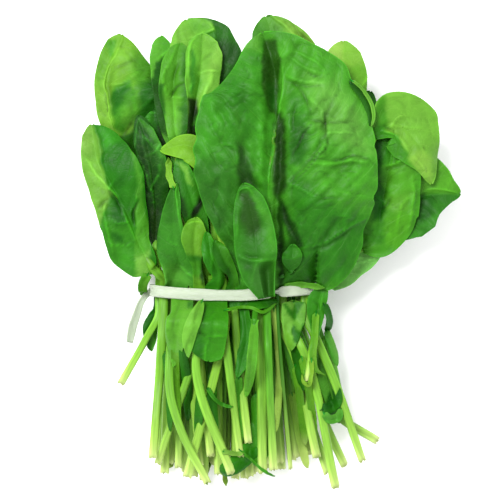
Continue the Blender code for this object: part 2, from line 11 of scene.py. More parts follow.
import bmesh
import bpy
import numpy as np
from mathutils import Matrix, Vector


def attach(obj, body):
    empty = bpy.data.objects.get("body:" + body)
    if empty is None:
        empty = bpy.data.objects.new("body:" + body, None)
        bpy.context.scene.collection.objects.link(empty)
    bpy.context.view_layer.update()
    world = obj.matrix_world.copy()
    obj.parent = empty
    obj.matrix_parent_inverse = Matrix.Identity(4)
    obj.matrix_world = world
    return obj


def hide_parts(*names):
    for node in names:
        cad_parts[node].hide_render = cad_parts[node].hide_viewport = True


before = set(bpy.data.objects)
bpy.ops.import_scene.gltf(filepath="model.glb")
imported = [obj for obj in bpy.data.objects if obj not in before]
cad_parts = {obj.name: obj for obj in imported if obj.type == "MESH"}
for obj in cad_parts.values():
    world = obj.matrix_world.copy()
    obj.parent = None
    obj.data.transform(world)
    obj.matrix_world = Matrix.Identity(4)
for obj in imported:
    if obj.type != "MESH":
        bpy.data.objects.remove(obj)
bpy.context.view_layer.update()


# ============================================================ leaves inside the bunch
# The nine leaves that lie on the table and the eighteen behind the ones in view. Each is
# a juicy stalk that runs on under its thin blade as the midrib. They are grown and laid
# by the same rules as every other leafy stem, which this section sets out.

MM = 0.001
BUNCH_MIDDLE = (23.6, 24.0)

# The stalks lie in rows inside the tie, and fan out on both sides of it.
TIE_HEIGHT, TIE_ZONE = 32.0, 7.5
PITCH_X, PITCH_Z = 6.9, 6.0
STALK_RADIUS, STALK_STEP = 2.5, 2.8
STEM_END_HEIGHT, STEM_END_RISE = 2.3, 9.0
LEAN_LENGTH = 4.0
# A hanging leaf has no cut end in view: its stalk is a stub above the tie.
HANGING, STUB = None, 8.6
# A cut end is drawn in: how far in each ring lies, and its share of the radius. It pales
# towards the end, and its last few millimetres are nearly white.
CUT_END, RAGGED = ((0.7, 0.12), (0.6, 0.5), (0.2, 0.78), (0.0, 1.0)), 0.9
PALE_END, PALE_REACH, SHORT_PALE_REACH = "#c6ea86", 28, 10
WHITE_TIP, WHITE_REACH = "#e6f2c4", 6
# A stalk is grooved along the side that faces up, and thicker and thinner by turns.
AROUND, SWELL, RIDGES, GROOVE_DEPTH, GROOVE_WIDTH = 14, 0.07, 0.07, 0.24, 0.42
RIB_END, THINNEST_RIB, RIB_COVER = 0.96, 0.2, 0.2

# Where along a blade its half-widths are given, and where the solid has its rows.
BLADE_STATIONS = (0.04, 0.2, 0.4, 0.6, 0.8, 0.93)
LAST_STATION = BLADE_STATIONS[-1]
SOLID_ROWS = np.array([0.04, 0.15, 0.3125, 0.475, 0.6375, 0.8, 0.92, 1.0])
APRON_ROWS, APRON_DEPTH, UNDER_APRON = 9, 2.2, 5.5
COLUMN_LIMITS, ROW_LIMITS = (8, 80), (12, 190)
HALF_SHEET, BLADE_SHEET = 0.4, 0.7
FULL_FOLD_AT, FOLD_LOSS, LOBE_END = 0.2, 0.35, 0.35
WAVE_TURNS, WAVE_SHIFT = 9.0, 2.1
EDGE_WAVER, EDGE_WAVE = 0.035, 7

# The tape, which the blades pass behind.
BAND_WIDTH, BAND_THICKNESS = 8.0, 0.8
BAND_HALF_SPAN, BAND_HALF_DEPTH, BAND_SQUARENESS = 52.6, 17.8, 2.6
BAND_SAG, BEHIND_BAND = 3.0, 1.2

# The leaves inside are fanned out in three layers, with the same draws every time.
HIDDEN_SEED = 11
UNDER, INNER, CORE = -2, -1, 0

# The pile: where it lies, the air left under a leaf, and what counts as clear of it.
PILE_CORNER, PILE_SIDES = (-125, -145), (300, 340)
AIR, STALK_AIR, LOWEST_BLADE, LOWEST_STALK, CLEAR_ENOUGH = 0.35, 0.1, 0.55, 0.05, 0.02
SETTLE_TURNS, SPREAD_CELLS, SPREAD_TURNS = 3, 14, 10


def leaf(name, row, column, end, blade, left, right, heights=(4, 9, 3), fold=(18, 18),
         curl=(-20, -20), lobe=(0, 0), below=(), above=(), radius=STALK_RADIUS, columns=2,
         tone="middle", wave=1.5, tucked=False, **finish):
    """One leafy stem: its place in the tie, its cut end, its midrib and half-widths."""
    return dict(name=name, row=row, column=column, end=end, blade=blade, left=left,
                right=right, heights=heights, fold=fold, curl=curl, lobe=lobe, below=below,
                above=above, radius=radius, columns=columns, tone=tone, wave=wave,
                tucked=tucked, finish=finish)


def length_along(points):
    """How far along a line each of its points lies."""
    steps = np.linalg.norm(np.diff(points, axis=0), axis=1)
    return np.concatenate([[0], np.cumsum(np.maximum(steps, 1e-6))])


def smooth_path(points, samples):
    """Points read off a smooth curve through the given ones, at chord-length samples."""
    points = np.array(points, float)
    knots = length_along(points)
    return through(knots, points, np.asarray(samples, float) * knots[-1])


def through(knots, points, samples, steady=False):
    """Smooth curve through points at knots; a steady one never swings past them."""
    steps = np.diff(knots)
    slopes = np.diff(points, axis=0) / steps[:, None]
    tangents = np.empty_like(points)
    tangents[0], tangents[-1] = slopes[0], slopes[-1]
    blend = (steps[:-1] / (steps[:-1] + steps[1:]))[:, None]
    tangents[1:-1] = slopes[:-1] * (1 - blend) + slopes[1:] * blend
    if steady:
        product = slopes[:-1] * slopes[1:]
        total = slopes[:-1] + slopes[1:]
        total = np.where(np.abs(total) < 1e-9, 1e-9, total)
        tangents[1:-1] = np.where(product > 0, 2 * product / total, 0)
    index = np.clip(np.searchsorted(knots, samples, side="right") - 1, 0, len(steps) - 1)
    width = steps[index][:, None]
    t = ((samples - knots[index]) / steps[index])[:, None]
    return ((2 * t**3 - 3 * t**2 + 1) * points[index]
            + (t**3 - 2 * t**2 + t) * width * tangents[index]
            + (3 * t**2 - 2 * t**3) * points[index + 1]
            + (t**3 - t**2) * width * tangents[index + 1])


def smooth_step(x):
    x = np.clip(x, 0, 1)
    return x * x * (3 - 2 * x)


def tie_place(spec):
    """Where a stalk lies inside the tie."""
    return spec["column"] * PITCH_X, TIE_HEIGHT + spec["row"] * PITCH_Z


def stem_points(spec):
    """Given points of the stalk: before the tie, through it, and on to the blade."""
    x, z = tie_place(spec)
    base_x, base_y = spec["blade"][0]
    lift = spec["heights"][0]
    base = [(base_x, base_y, z + lift)]
    if spec["tucked"]:
        half_x, half_y = (spec["end"][0] + base_x) / 2, (spec["end"][1] + base_y) / 2
        return [(*spec["end"], z + lift)], [(half_x, half_y, z + lift)] * 2, base
    if spec["end"] is HANGING:
        return [(x, STUB, z)], [(x, TIE_ZONE, z), (x, -TIE_ZONE, z)], base
    end_x, end_y = spec["end"]
    end_z = STEM_END_HEIGHT + (spec["row"] + 2) * STEM_END_RISE
    before = [(end_x, end_y, end_z)]
    before += [(wx, wy, z + (end_z - z) * wy / end_y) for wx, wy in reversed(spec["below"])]
    lean_in = 0 if spec["below"] else (end_x - x) / abs(end_y)
    before.append((x + lean_in * LEAN_LENGTH, -TIE_ZONE * 1.9, z + (end_z - z) * 0.06))
    after = [(wx, wy, z + lift * wy / base_y) for wx, wy in spec["above"]]
    return before, [(x, -TIE_ZONE, z), (x, TIE_ZONE, z)], after + base


def stalk_path(spec, lower, upper):
    """Middle line of the stalk up to the blade, and each point's key: 0 to 1 up to the
    tie, and 2 to 3 from there to the blade."""
    before, tie, after = stem_points(spec)
    s_lower, s_upper = np.linspace(0, 1, lower + 1), np.linspace(0, 1, upper + 1)
    path = np.vstack([smooth_path(before + [tie[0]], s_lower),
                      smooth_path([tie[1]] + after, s_upper)])
    return path, np.concatenate([s_lower, 2 + s_upper])


def blade_form(spec, t, across, fine):
    """Plan and form of a blade before it is laid: x, y, middle height, half thickness.

    A fine blade may start before its stalk's end, as an apron that is tucked in behind
    the tape: there t is negative. Also gives the reach of each side in each row.
    """
    z = tie_place(spec)[1]
    plan = np.array(spec["blade"], float)
    run = length_along(plan)
    climb = z + np.interp(run / run[-1], (0, 0.5, 1), spec["heights"])
    points = np.column_stack([plan, climb])
    places, first, start = (0.0,), (spec["radius"],) * 2, 0.0
    apron = spec["finish"].get("apron") if fine else None
    if apron:
        ax, ay, lift, *first = apron
        length = length_along(points)[-1]
        points = np.vstack([(ax, ay, points[0, 2] + lift), points])
        start = -np.linalg.norm(points[1] - points[0]) / length
        places = (start,)
        t = np.concatenate([np.linspace(start, 0, APRON_ROWS)[:-1], t])
    path = smooth_path(points, (t - start) / (1 - start))
    places = np.array(places + BLADE_STATIONS)
    inside = np.minimum(t, LAST_STATION)
    reach = []
    for side, root in zip(("left", "right"), first):
        widths = np.array((root,) + tuple(spec[side]), float)
        body = (through(places, widths[:, None], inside, True)[:, 0] if fine
                else np.interp(inside, places, widths))
        end = widths[-1] * np.sqrt(np.maximum(1 - t, 0) / (1 - LAST_STATION))
        # The edge of a real leaf is never quite fair.
        waver = EDGE_WAVER * bumps(t * run[-1], 0 * t + 40 * len(reach), EDGE_WAVE,
                                   len(spec["name"]))
        reach.append(np.where(t > LAST_STATION, end, body) * (1 + waver * fine))
    tangent = np.gradient(path, axis=0)
    normal = np.stack([-tangent[:, 1], tangent[:, 0]], 1)
    normal /= np.linalg.norm(normal, axis=1, keepdims=True)
    u = across[None, :]
    side = (u > 0).astype(int)
    w = np.where(u < 0, reach[0][:, None], reach[1][:, None])
    share = (np.clip(t / FULL_FOLD_AT, 0, 1) * (1 - FOLD_LOSS * t))[:, None]
    turn, bend = (np.radians(np.array(spec[key], float))[side] * share
                  for key in ("fold", "curl"))
    mids = (np.arange(8) + 0.5) / 8
    slope = np.tan(turn[..., None] + bend[..., None] * np.abs(u)[..., None] * mids).mean(-1)
    rise = w * np.abs(u) * slope
    rise += spec["wave"] * u * u * np.sin(WAVE_TURNS * t[:, None] + WAVE_SHIFT * side
                                          + spec["column"])
    lobe = np.where(u < 0, *spec["lobe"])
    swept = np.where(t < 0, 1 - t / min(start, -1e-9), np.maximum(0, 1 - t / LOBE_END) ** 2)
    back = lobe * np.abs(u) * swept[:, None]
    grid = np.full((len(t), len(across), 4), HALF_SHEET)
    grid[..., 0] = path[:, None, 0] - normal[:, None, 0] * w * u - normal[:, None, 1] * back
    grid[..., 1] = path[:, None, 1] - normal[:, None, 1] * w * u + normal[:, None, 0] * back
    grid[..., 2] = path[:, None, 2] + rise
    return grid, t, w


def soften(field):
    """The field averaged with its neighbours along and across."""
    padded = np.pad(field, 1, mode="edge")
    return (padded[1:-1, 1:-1] * 2 + padded[:-2, 1:-1] + padded[2:, 1:-1]
            + padded[1:-1, :-2] + padded[1:-1, 2:]) / 6


def bumps(x, y, size, seed):
    """Soft random hills and hollows, about 1 high, whose width is size."""
    lattice = np.random.RandomState(seed).uniform(-1, 1, (97, 97))
    x, y = x / size + 31.7, y / size + 37.3
    i, j = np.floor(x).astype(int), np.floor(y).astype(int)
    a, b = x - i, y - j
    a, b = a * a * (3 - 2 * a), b * b * (3 - 2 * b)
    i, j = i % 96, j % 96
    return ((lattice[i, j] * (1 - a) + lattice[i + 1, j] * a) * (1 - b)
            + (lattice[i, j + 1] * (1 - a) + lattice[i + 1, j + 1] * a) * b)


def away_from(x, y, line):
    """Distance of each point from a drawn line, and how far along it lies, 0 to 1."""
    best = np.full(x.shape, 1e9)
    where = np.zeros(x.shape)
    for k in range(len(line) - 1):
        (ax, ay), (bx, by) = line[k], line[k + 1]
        dx, dy = bx - ax, by - ay
        along = np.clip(((x - ax) * dx + (y - ay) * dy) / (dx * dx + dy * dy + 1e-9), 0, 1)
        d = np.hypot(x - ax - along * dx, y - ay - along * dy)
        nearer = d < best
        best = np.where(nearer, d, best)
        where = np.where(nearer, (k + along) / (len(line) - 1), where)
    return best, where


def share_inside(x, y, outline, soft):
    """1 inside a drawn outline, 0 outside it, with a soft edge between."""
    inside = np.zeros(x.shape, bool)
    for (ax, ay), (bx, by) in zip(outline, outline[1:] + outline[:1]):
        if ay != by:
            crosses = (ay > y) != (by > y)
            inside ^= crosses & (x < (bx - ax) * (y - ay) / (by - ay) + ax)
    edge, _ = away_from(x, y, outline + outline[:1])
    return smooth_step(0.5 + np.where(inside, edge, -edge) / (2 * soft))


class Pile:
    """Height of everything laid so far, on which each next leaf comes to lie."""

    def __init__(self, cell):
        self.cell = cell
        self.heights = np.full([int(side / cell) for side in PILE_SIDES], -1000.0)

    def cells(self, x, y):
        """The cells in which these places lie."""
        return tuple(np.clip(((place - low) / self.cell).astype(int), 0, count - 1)
                     for place, low, count in zip((x, y), PILE_CORNER, self.heights.shape))

    def finer(self, field, times=3):
        """A grid's field with more points between, so that no cell is missed."""
        rows, columns = field.shape
        r = np.linspace(0, rows - 1, (rows - 1) * times + 1)
        c = np.linspace(0, columns - 1, (columns - 1) * times + 1)
        i, j = np.minimum(r.astype(int), rows - 2), np.minimum(c.astype(int), columns - 2)
        a, b = (r - i)[:, None], (c - j)[None, :]
        return ((field[i][:, j] * (1 - b) + field[i][:, j + 1] * b) * (1 - a)
                + (field[i + 1][:, j] * (1 - b) + field[i + 1][:, j + 1] * b) * a)

    def settle(self, grid, air, free, slope=0.5, times=3):
        """Raises a leaf, smoothly, wherever it would lie in what is under it."""
        place = self.cells(self.finer(grid[..., 0]), self.finer(grid[..., 1]))
        along = np.hypot(*np.diff(grid[..., :2], axis=0).transpose(2, 0, 1))
        over = np.hypot(*np.diff(grid[..., :2], axis=1).transpose(2, 0, 1))
        r, c = grid.shape[0] - 1, grid.shape[1] - 1
        ahead, behind = slice(1, None), slice(None, -1)
        for _ in range(SETTLE_TURNS):
            low = self.finer(grid[..., 2] - grid[..., 3])
            gap = self.heights[place] + air - low
            patch = gap[:-1, :-1].reshape(r, times, c, times).max((1, 3))
            need = np.zeros(grid.shape[:2])
            for di in (0, 1):
                for dj in (0, 1):
                    block = need[di:di + r, dj:dj + c]
                    np.maximum(block, patch, out=block)
            need *= free
            if need.max() < CLEAR_ENOUGH:
                break
            for _ in range(SPREAD_CELLS):
                for a, b in ((ahead, behind), (behind, ahead)):
                    need[a] = np.maximum(need[a], need[b] - slope * along)
                    need[:, a] = np.maximum(need[:, a], need[:, b] - slope * over)
            need = np.maximum(need, soften(soften(need))) * free
            grid[..., 2] += need

    def add(self, grid):
        """Lays a blade or a stalk on top of what is there."""
        place = self.cells(self.finer(grid[..., 0]), self.finer(grid[..., 1]))
        np.maximum.at(self.heights, place, self.finer(grid[..., 2] + grid[..., 3]))


def points_of(mesh):
    """The places of a mesh's points."""
    co = np.zeros(len(mesh.vertices) * 3, np.float32)
    mesh.vertices.foreach_get("co", co)
    return co.reshape(-1, 3).astype(float)


def laid_height(name, x, y):
    """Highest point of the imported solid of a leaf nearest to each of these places."""
    co = points_of(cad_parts[name].data) / MM + (*BUNCH_MIDDLE, 0)
    top = np.zeros(x.shape)
    for index, place_x in np.ndenumerate(x):
        near = np.hypot(co[:, 0] - place_x, co[:, 1] - y[index])
        top[index] = co[near < near.min() + 0.02, 2].max()
    return top


def behind_tape(x, y, z):
    """Height pressed down so that a blade passes behind the tape, not through it."""
    inside = np.maximum(0, 1 - (np.abs(x) / BAND_HALF_SPAN) ** BAND_SQUARENESS)
    sag = BAND_SAG * (1 - np.minimum(1, (x / BAND_HALF_SPAN) ** 2))
    ceiling = TIE_HEIGHT + (BAND_HALF_DEPTH - BEHIND_BAND) * inside ** (1 / BAND_SQUARENESS)
    clear = np.maximum(0, np.abs(y + sag) - BAND_WIDTH / 2 - 0.5)
    return np.where(np.abs(x) < BAND_HALF_SPAN, np.minimum(z, ceiling + 1.3 * clear), z)


def uneven(count, thin):
    """Across a blade, from edge to edge: close together at the midrib and at the edges."""
    s = np.linspace(0, 1, count)
    u = s - thin * np.sin(2 * math.pi * s) / (2 * math.pi)
    return np.concatenate([-u[::-1], u[1:]])


def hex_colour(code):
    """An sRGB hex colour as linear light."""
    values = [int(code[i:i + 2], 16) / 255 for i in (1, 3, 5)]
    return np.array([v / 12.92 if v <= 0.04045 else ((v + 0.055) / 1.055) ** 2.4
                     for v in values])


def node(tree, kind, links=(), **settings):
    """Adds one shader node: its settings, the values of its sockets, and what feeds them.

    A node that feeds a socket does so from its first output.
    """
    made = tree.nodes.new("ShaderNode" + kind)
    for key, value in settings.items():
        setattr(made, key, value)
    for socket, source in dict(links).items():
        if isinstance(source, bpy.types.Node):
            source = source.outputs[0]
        if isinstance(source, bpy.types.NodeSocket):
            tree.links.new(source, made.inputs[socket])
        else:
            made.inputs[socket].default_value = source
    return made


def new_material(name, constants):
    """A material, its tree, and its shader with these values on its own sockets."""
    material = bpy.data.materials.new(name)
    material.use_nodes = True
    shader = material.node_tree.nodes["Principled BSDF"]
    for socket, value in constants.items():
        shader.inputs[socket].default_value = value
    return material, material.node_tree, shader


def leaf_skin(name, rough, gloss, net_share):
    """Skin of a fresh leaf: smooth and waxy, over a net of veins a little paler than it."""
    material, tree, shader = new_material(
        name, {"Roughness": rough, "IOR": 1.42, "Specular IOR Level": gloss})
    tint = node(tree, "Attribute", attribute_name="tint")
    place = node(tree, "TexCoord").outputs["Object"]
    flat = node(tree, "UVMap", uv_map="flat")
    # Patches of thicker, greener flesh, about 12 mm across.
    patches = node(tree, "TexNoise", {"Vector": place, "Scale": 1 / 0.012, "Detail": 5.0,
                                      "Roughness": 0.62})
    patch_value = node(tree, "MapRange", {"Value": patches, "From Min": 0.3, "From Max": 0.7,
                                          "To Min": 0.84, "To Max": 1.14})
    own = node(tree, "VectorMath", {0: tint, "Scale": patch_value}, operation="SCALE")
    # Side veins come from the leaf's own count of them; each fades in and out.
    lateral = node(tree, "Attribute", attribute_name="lateral")
    stray = node(tree, "TexNoise", {"Vector": place, "Scale": 1 / 0.009, "Detail": 2.0})
    drift = node(tree, "Math", {0: stray, 1: 0.3}, operation="MULTIPLY")
    count = node(tree, "Math", {0: lateral.outputs["Fac"], 1: drift})
    near = node(tree, "Math", {0: count, 1: 0.5}, operation="PINGPONG")
    line = node(tree, "MapRange", {"Value": near, "From Min": 0.0, "From Max": 0.045,
                                   "To Min": 1.0, "To Max": 0.0},
                interpolation_type="SMOOTHSTEP")
    fade = node(tree, "MapRange", {"Value": stray, "From Min": 0.38, "From Max": 0.62,
                                   "To Min": 0.1, "To Max": 1.0})
    side_vein = node(tree, "Math", {0: line, 1: fade}, operation="MULTIPLY")
    # The net between them: meshes about 4 mm wide, drawn coarse enough to show.
    bent = node(tree, "VectorMath", {0: patches.outputs["Color"], 1: (0.9, 0.9, 0), 2: flat},
                operation="MULTIPLY_ADD")
    net = node(tree, "TexVoronoi", {"Vector": bent, "Scale": 2.6, "Randomness": 1.0},
               feature="DISTANCE_TO_EDGE")
    net_vein = node(tree, "MapRange", {"Value": net, "From Min": 0.0, "From Max": 0.1,
                                       "To Min": net_share, "To Max": 0.0},
                    interpolation_type="SMOOTHSTEP")
    vein = node(tree, "Math", {0: side_vein, 1: net_vein}, operation="MAXIMUM")
    bold = node(tree, "Attribute", attribute_name="veins")
    share = node(tree, "Math", {0: vein, 1: bold.outputs["Fac"]}, operation="MULTIPLY")
    paler = node(tree, "VectorMath", {0: own, 1: (1.75, 1.4, 1.9), 2: (0.012, 0.02, 0.005)},
                 operation="MULTIPLY_ADD")
    skin = node(tree, "Mix", {"Factor": share, "A": own, "B": paler}, data_type="RGBA")
    tree.links.new(skin.outputs["Result"], shader.inputs["Base Color"])
    # Cells of the skin, drawn about a millimetre wide so that they show.
    grain = node(tree, "TexNoise", {"Vector": place, "Scale": 1 / 0.0014, "Detail": 2.0})
    ground = node(tree, "Math", {0: grain, 1: 0.3}, operation="MULTIPLY")
    raised = node(tree, "Math", {0: ground, 1: vein}, operation="SUBTRACT")
    relief = node(tree, "Bump", {"Height": raised, "Strength": 0.5, "Distance": 0.0005})
    tree.links.new(relief.outputs["Normal"], shader.inputs["Normal"])
    return material


upper_side = leaf_skin("waxy upper side of a spinach leaf", 0.46, 0.12, 0.3)
underside = leaf_skin("matt underside of a spinach leaf", 0.6, 0.08, 0.6)


def stalk_skin_of(name):
    """Juicy stalk: smooth, with fine ridges and paler fibres running along it."""
    material, tree, shader = new_material(
        name, {"Roughness": 0.38, "IOR": 1.4, "Specular IOR Level": 0.18})
    tint = node(tree, "Attribute", attribute_name="tint")
    around = node(tree, "UVMap", uv_map="flat")
    # Fibres: each about 0.5 mm wide and some tens of millimetres long.
    stretch = node(tree, "Mapping", {"Vector": around, "Scale": (1.5, 0.12, 1.0)})
    fibre = node(tree, "TexNoise", {"Vector": stretch, "Scale": 4.0, "Detail": 3.0})
    streak = node(tree, "MapRange", {"Value": fibre, "From Min": 0.3, "From Max": 0.7,
                                     "To Min": 0.72, "To Max": 1.25})
    colour = node(tree, "VectorMath", {0: tint, "Scale": streak}, operation="SCALE")
    tree.links.new(colour.outputs["Vector"], shader.inputs["Base Color"])
    relief = node(tree, "Bump", {"Height": fibre, "Strength": 0.5, "Distance": 0.0006})
    tree.links.new(relief.outputs["Normal"], shader.inputs["Normal"])
    return material


stalk_skin = stalk_skin_of("ridged skin of a spinach stalk")

# Colours of a blade's left and right halves. Where they differ it is painted light and shade:
# the half that a fold turns to the light is painted paler, the other darker.
FACE = {"light": ("#6cb944", "#62b23c"), "middle": ("#41962c", "#3c9026"),
        "dark": ("#2c7a1c", "#276f18")}
STALK = {"light": "#84c247", "middle": "#66ab35", "dark": "#469a22"}
# Share of light that comes back from a leaf, against the tone that it shows here.
LEAF_SHARE, STALK_SHARE = (0.33, 0.365, 0.17), (0.55, 0.58, 0.34)
LINE_WIDTH, LINE_RISE, LINE_SHADE = 0.9, 1.3, 1.5
LATERAL_GAP, RIM_WIDTH = 13.0, 0.55
# Widths of the soft random hills, in millimetres.
VEIN_SWAY, RIPPLES, PUCKERS, SMALL_PUCKERS = 22, 13, 15, 6.5
CREASES, SMALL_CREASES, DRIFT, SMALL_DRIFT = 12, 4.5, 7, 2.4
FURROW_DEPTH, FURROW_WIDTH, CREASE_DEPTH, CREASE_WIDTH = 0.6, 1.3, 0.4, 0.085


def blade_relief(spec, blade, t, u, w):
    """Presses dents, folds and furrows into a blade. Gives how far along and across the
    blade each point lies, its count of side veins, and its colour: the leaf's own, with
    painted shade in its creases and folds and painted light on its ridges and rim."""
    finish = spec["finish"]
    x, y = blade[..., 0], blade[..., 1]
    s = np.repeat(length_along(blade[:, len(u) // 2, :3])[:, None], len(u), 1)
    t, u = np.meshgrid(t, u, indexing="ij")
    v = w * u
    size = min(1.0, (max(spec["left"]) + max(spec["right"])) / 60)
    gap = LATERAL_GAP * (0.5 + 0.5 * size)
    seed = sum(map(ord, spec["name"]))
    sway = 1.6 * bumps(s, v, VEIN_SWAY, seed + 3) * size
    count = (s + sway - 0.75 * np.abs(v) - 0.006 * v * v + 0.42 * gap * (v > 0)) / gap
    inside = np.clip(np.abs(u) / 0.15, 0, 1) * np.clip((1 - np.abs(u)) / 0.2, 0, 1)
    ends = np.clip((t + 0.05) / 0.1, 0, 1) * np.clip((1 - t) / 0.1, 0, 1)
    phase = np.abs(count - np.round(count))
    dz = finish.get("puff", 0.6) * size * (np.minimum(phase / 0.3, 1) - 1) * inside * ends
    pucker = finish.get("pucker", 1.0) * size
    dz += pucker * ends * (1.2 * bumps(s, v, PUCKERS, seed)
                           + 0.55 * bumps(s, v, SMALL_PUCKERS, seed + 1))
    ripple = finish.get("ripple", 1.0) * np.abs(u) ** 4 * ends
    dz += ripple * bumps(s + 300 * (v > 0), s * 0, RIPPLES, seed + 2) * (0.8 + size)
    dz -= FURROW_DEPTH * np.exp(-(v / FURROW_WIDTH) ** 2) * np.clip((1 - t) * 3, 0, 1)

    # Wandering creases, where a slow random field passes through nought.
    slow = (bumps(s, v, CREASES, seed + 4) + 0.45 * bumps(s, v, SMALL_CREASES, seed + 5))
    crease = np.exp(-(slow / CREASE_WIDTH) ** 2) * inside * ends * min(pucker, 1.6)
    dz -= CREASE_DEPTH * crease
    # Nothing drawn on a leaf has a straight edge.
    sway_x, sway_y = (reach * bumps(x, y, DRIFT, seed + k)
                      + 0.6 * bumps(x, y, SMALL_DRIFT, seed + k + 1)
                      for reach, k in ((1.5, 6), (1.8, 8)))

    # The two halves blend at the midrib; where they differ, one is painted lit and the other
    # painted in shade.
    left, right = (hex_colour(c) for c in finish.get("face", FACE[spec["tone"]]))
    colour = left + (right - left) * smooth_step((v / 2.0 + 1) / 2)[..., None]
    # An area's colour is in places the leaf's own and in places painted shade in a fold or
    # hollow and painted light on a raised part.
    for code, soft, outline in finish.get("areas", ()):
        share = share_inside(x + sway_x, y + sway_y, outline, soft)[..., None]
        colour = colour * (1 - share) + hex_colour(code) * share
    # Painted shade in the wandering creases, and painted light and shade on the two sides of the
    # small puckers.
    stops = 0.22 * crease - 0.12 * np.minimum(pucker, 1.5) * bumps(
        s - 2, v + 2, SMALL_PUCKERS, seed + 1)
    # A line's shade is painted into the colour: positive is painted shade along a crease,
    # negative is painted light along a ridge, and on a vein also its own paler colour.
    for height, width, shade, line in finish.get("lines", ()):
        dense = smooth_path(line, np.linspace(0, 1, 4 * len(line)))
        d, where = away_from(x + 0.4 * sway_x, y + 0.4 * sway_y, dense)
        keep = (np.exp(-(d / (width * LINE_WIDTH)) ** 2)
                * np.sin(math.pi * (where * 0.9 + 0.05)) ** 0.5)
        dz += height * LINE_RISE * keep
        stops += shade * LINE_SHADE * keep
    # The midrib's pale line is its own colour; the pale rim along the edge is a painted
    # highlight.
    rib = np.exp(-(v / 0.9) ** 2) * np.clip((1 - t) * 2.2, 0, 1) * finish.get("rib", 0.35)
    edge = finish.get("rim", 0.4) * smooth_step(1.4 - (1 - np.abs(u)) * np.abs(v / np.where(
        np.abs(u) < 1e-6, 1, u)) / RIM_WIDTH) * (np.abs(u) > 0.5)
    stops -= 0.9 * (rib + edge)
    blade[..., 2] += dz
    return s, v, count, colour * LEAF_SHARE * (2.0 ** -stops)[..., None]


def grow(spec, pile, step):
    """Grows one leafy stem, lays it on the pile, and makes its object."""
    finish, radius = spec["finish"], spec["radius"]
    free_end = spec["end"] is HANGING or spec["tucked"]
    coarse_u = np.linspace(-1, 1, 2 * spec["columns"] + 1)
    coarse = blade_form(spec, SOLID_ROWS, coarse_u, False)[0]
    lift = (laid_height(spec["name"], coarse[..., 0], coarse[..., 1]) - coarse[..., 2]
            - HALF_SHEET * (np.abs(coarse_u) < 1))
    bones, bone_keys = stalk_path(spec, *((1, 2) if free_end else (4, 3)))
    bone_lift = laid_height(spec["name"], bones[:, 0], bones[:, 1]) - bones[:, 2] - radius
    if finish.get("apron"):
        bone_lift[bone_keys > 2] = bone_lift[bone_keys == 2]

    half_width = (max(spec["left"]) + max(spec["right"])) / 2
    u = uneven(int(np.clip(half_width / step, *COLUMN_LIMITS)) + 1, 0.5)
    length = length_along(np.array(spec["blade"], float))[-1]
    body = int(np.clip(LAST_STATION * length / step, *ROW_LIMITS))
    tip = 1 - (1 - LAST_STATION) * np.cos(np.linspace(0, 1, 9) * math.pi / 2 * 0.97) ** 2
    blade, t, w = blade_form(spec, np.concatenate(
        [np.linspace(0, LAST_STATION, body)[:-1], tip]), u, True)
    wide = np.stack([np.interp(u, coarse_u, row) for row in lift])
    spread = np.stack([np.interp(t, SOLID_ROWS, column) for column in wide.T], 1)
    for _ in range(SPREAD_TURNS):
        spread = soften(spread)
    blade[..., 2] += spread
    relief = blade_relief(spec, blade, t, u, w)
    free = np.ones(w.shape)
    if not (spec["tucked"] or finish.get("over_tape")):
        blade[..., 2] = behind_tape(blade[..., 0], blade[..., 1], blade[..., 2])
        off = np.abs(blade[..., 1]) - BAND_WIDTH / 2
        free = np.where(np.abs(blade[..., 0]) < BAND_HALF_SPAN + 3, np.clip(off / 8, 0, 1), 1)
    pile.settle(blade, AIR, free)
    blade[..., 2] += np.maximum(LOWEST_BLADE - blade[..., 2], 0)

    # The stalk: bent to meet the blade's own midrib, and laid on the stalks under it.
    before, _, after = stem_points(spec)
    ways = (sum(math.dist(a[:2], b[:2]) for a, b in zip(before, before[1:])),
            math.dist(after[-1][:2], (tie_place(spec)[0], TIE_ZONE)))
    path, keys = stalk_path(spec, *(max(3, int(way / STALK_STEP)) for way in ways))
    path[:, 2] += np.interp(keys, bone_keys, bone_lift)
    base = int(np.argmin(np.abs(t)))
    meet = blade[base, len(u) // 2, 2] - path[-1, 2]
    if finish.get("apron"):
        meet -= APRON_DEPTH * radius
    path[:, 2] += meet * smooth_step(np.clip(keys - 2, 0, 1))
    rows = np.repeat(path[:, None, :], 3, 1)
    rows[:, :, 0] += (-radius, 0, radius)
    tube = np.concatenate([rows, np.full(rows.shape[:2] + (1,), radius * 0.8)], 2)
    if not free_end:
        loose = np.clip((np.abs(tube[..., 1]) - TIE_ZONE) / 9, 0, 1) * (keys <= 1)[:, None]
        pile.settle(tube, STALK_AIR, loose)
    path[:, 2] = tube[:, 1, 2]
    pile.add(tube)
    pile.add(blade)
    leaf_object(spec, path, blade, base, t, relief)


def spun_tube(points, around):
    """A straight tube of radius 1 about the z axis: so many points along and around."""
    bm = bmesh.new()
    strip = [bm.verts.new((1, 0, k)) for k in range(points)]
    edges = [bm.edges.new(pair) for pair in zip(strip, strip[1:])]
    bmesh.ops.spin(bm, geom=strip + edges, cent=(0, 0, 0), axis=(0, 0, 1),
                   angle=2 * math.pi, steps=around, use_merge=True)
    return bm


def mesh_of(name, bm):
    """Turns a bmesh into a mesh."""
    mesh = bpy.data.meshes.new(name)
    bm.to_mesh(mesh)
    bm.free()
    return mesh


def sheet_grid(bm, rows, columns, height):
    """Adds a flat grid whose corners run from (0, 0) to (columns - 1, rows - 1)."""
    made = bmesh.ops.create_grid(bm, x_segments=columns - 1, y_segments=rows - 1, size=1)
    for vertex in made["verts"]:
        vertex.co.x = round((vertex.co.x + 1) / 2 * (columns - 1))
        vertex.co.y = round((vertex.co.y + 1) / 2 * (rows - 1))
        vertex.co.z = height
    return made["verts"]


def new_object(name, data):
    """Puts a piece, a light or the camera into the scene."""
    made = bpy.data.objects.new(name, data)
    bpy.context.scene.collection.objects.link(made)
    return made


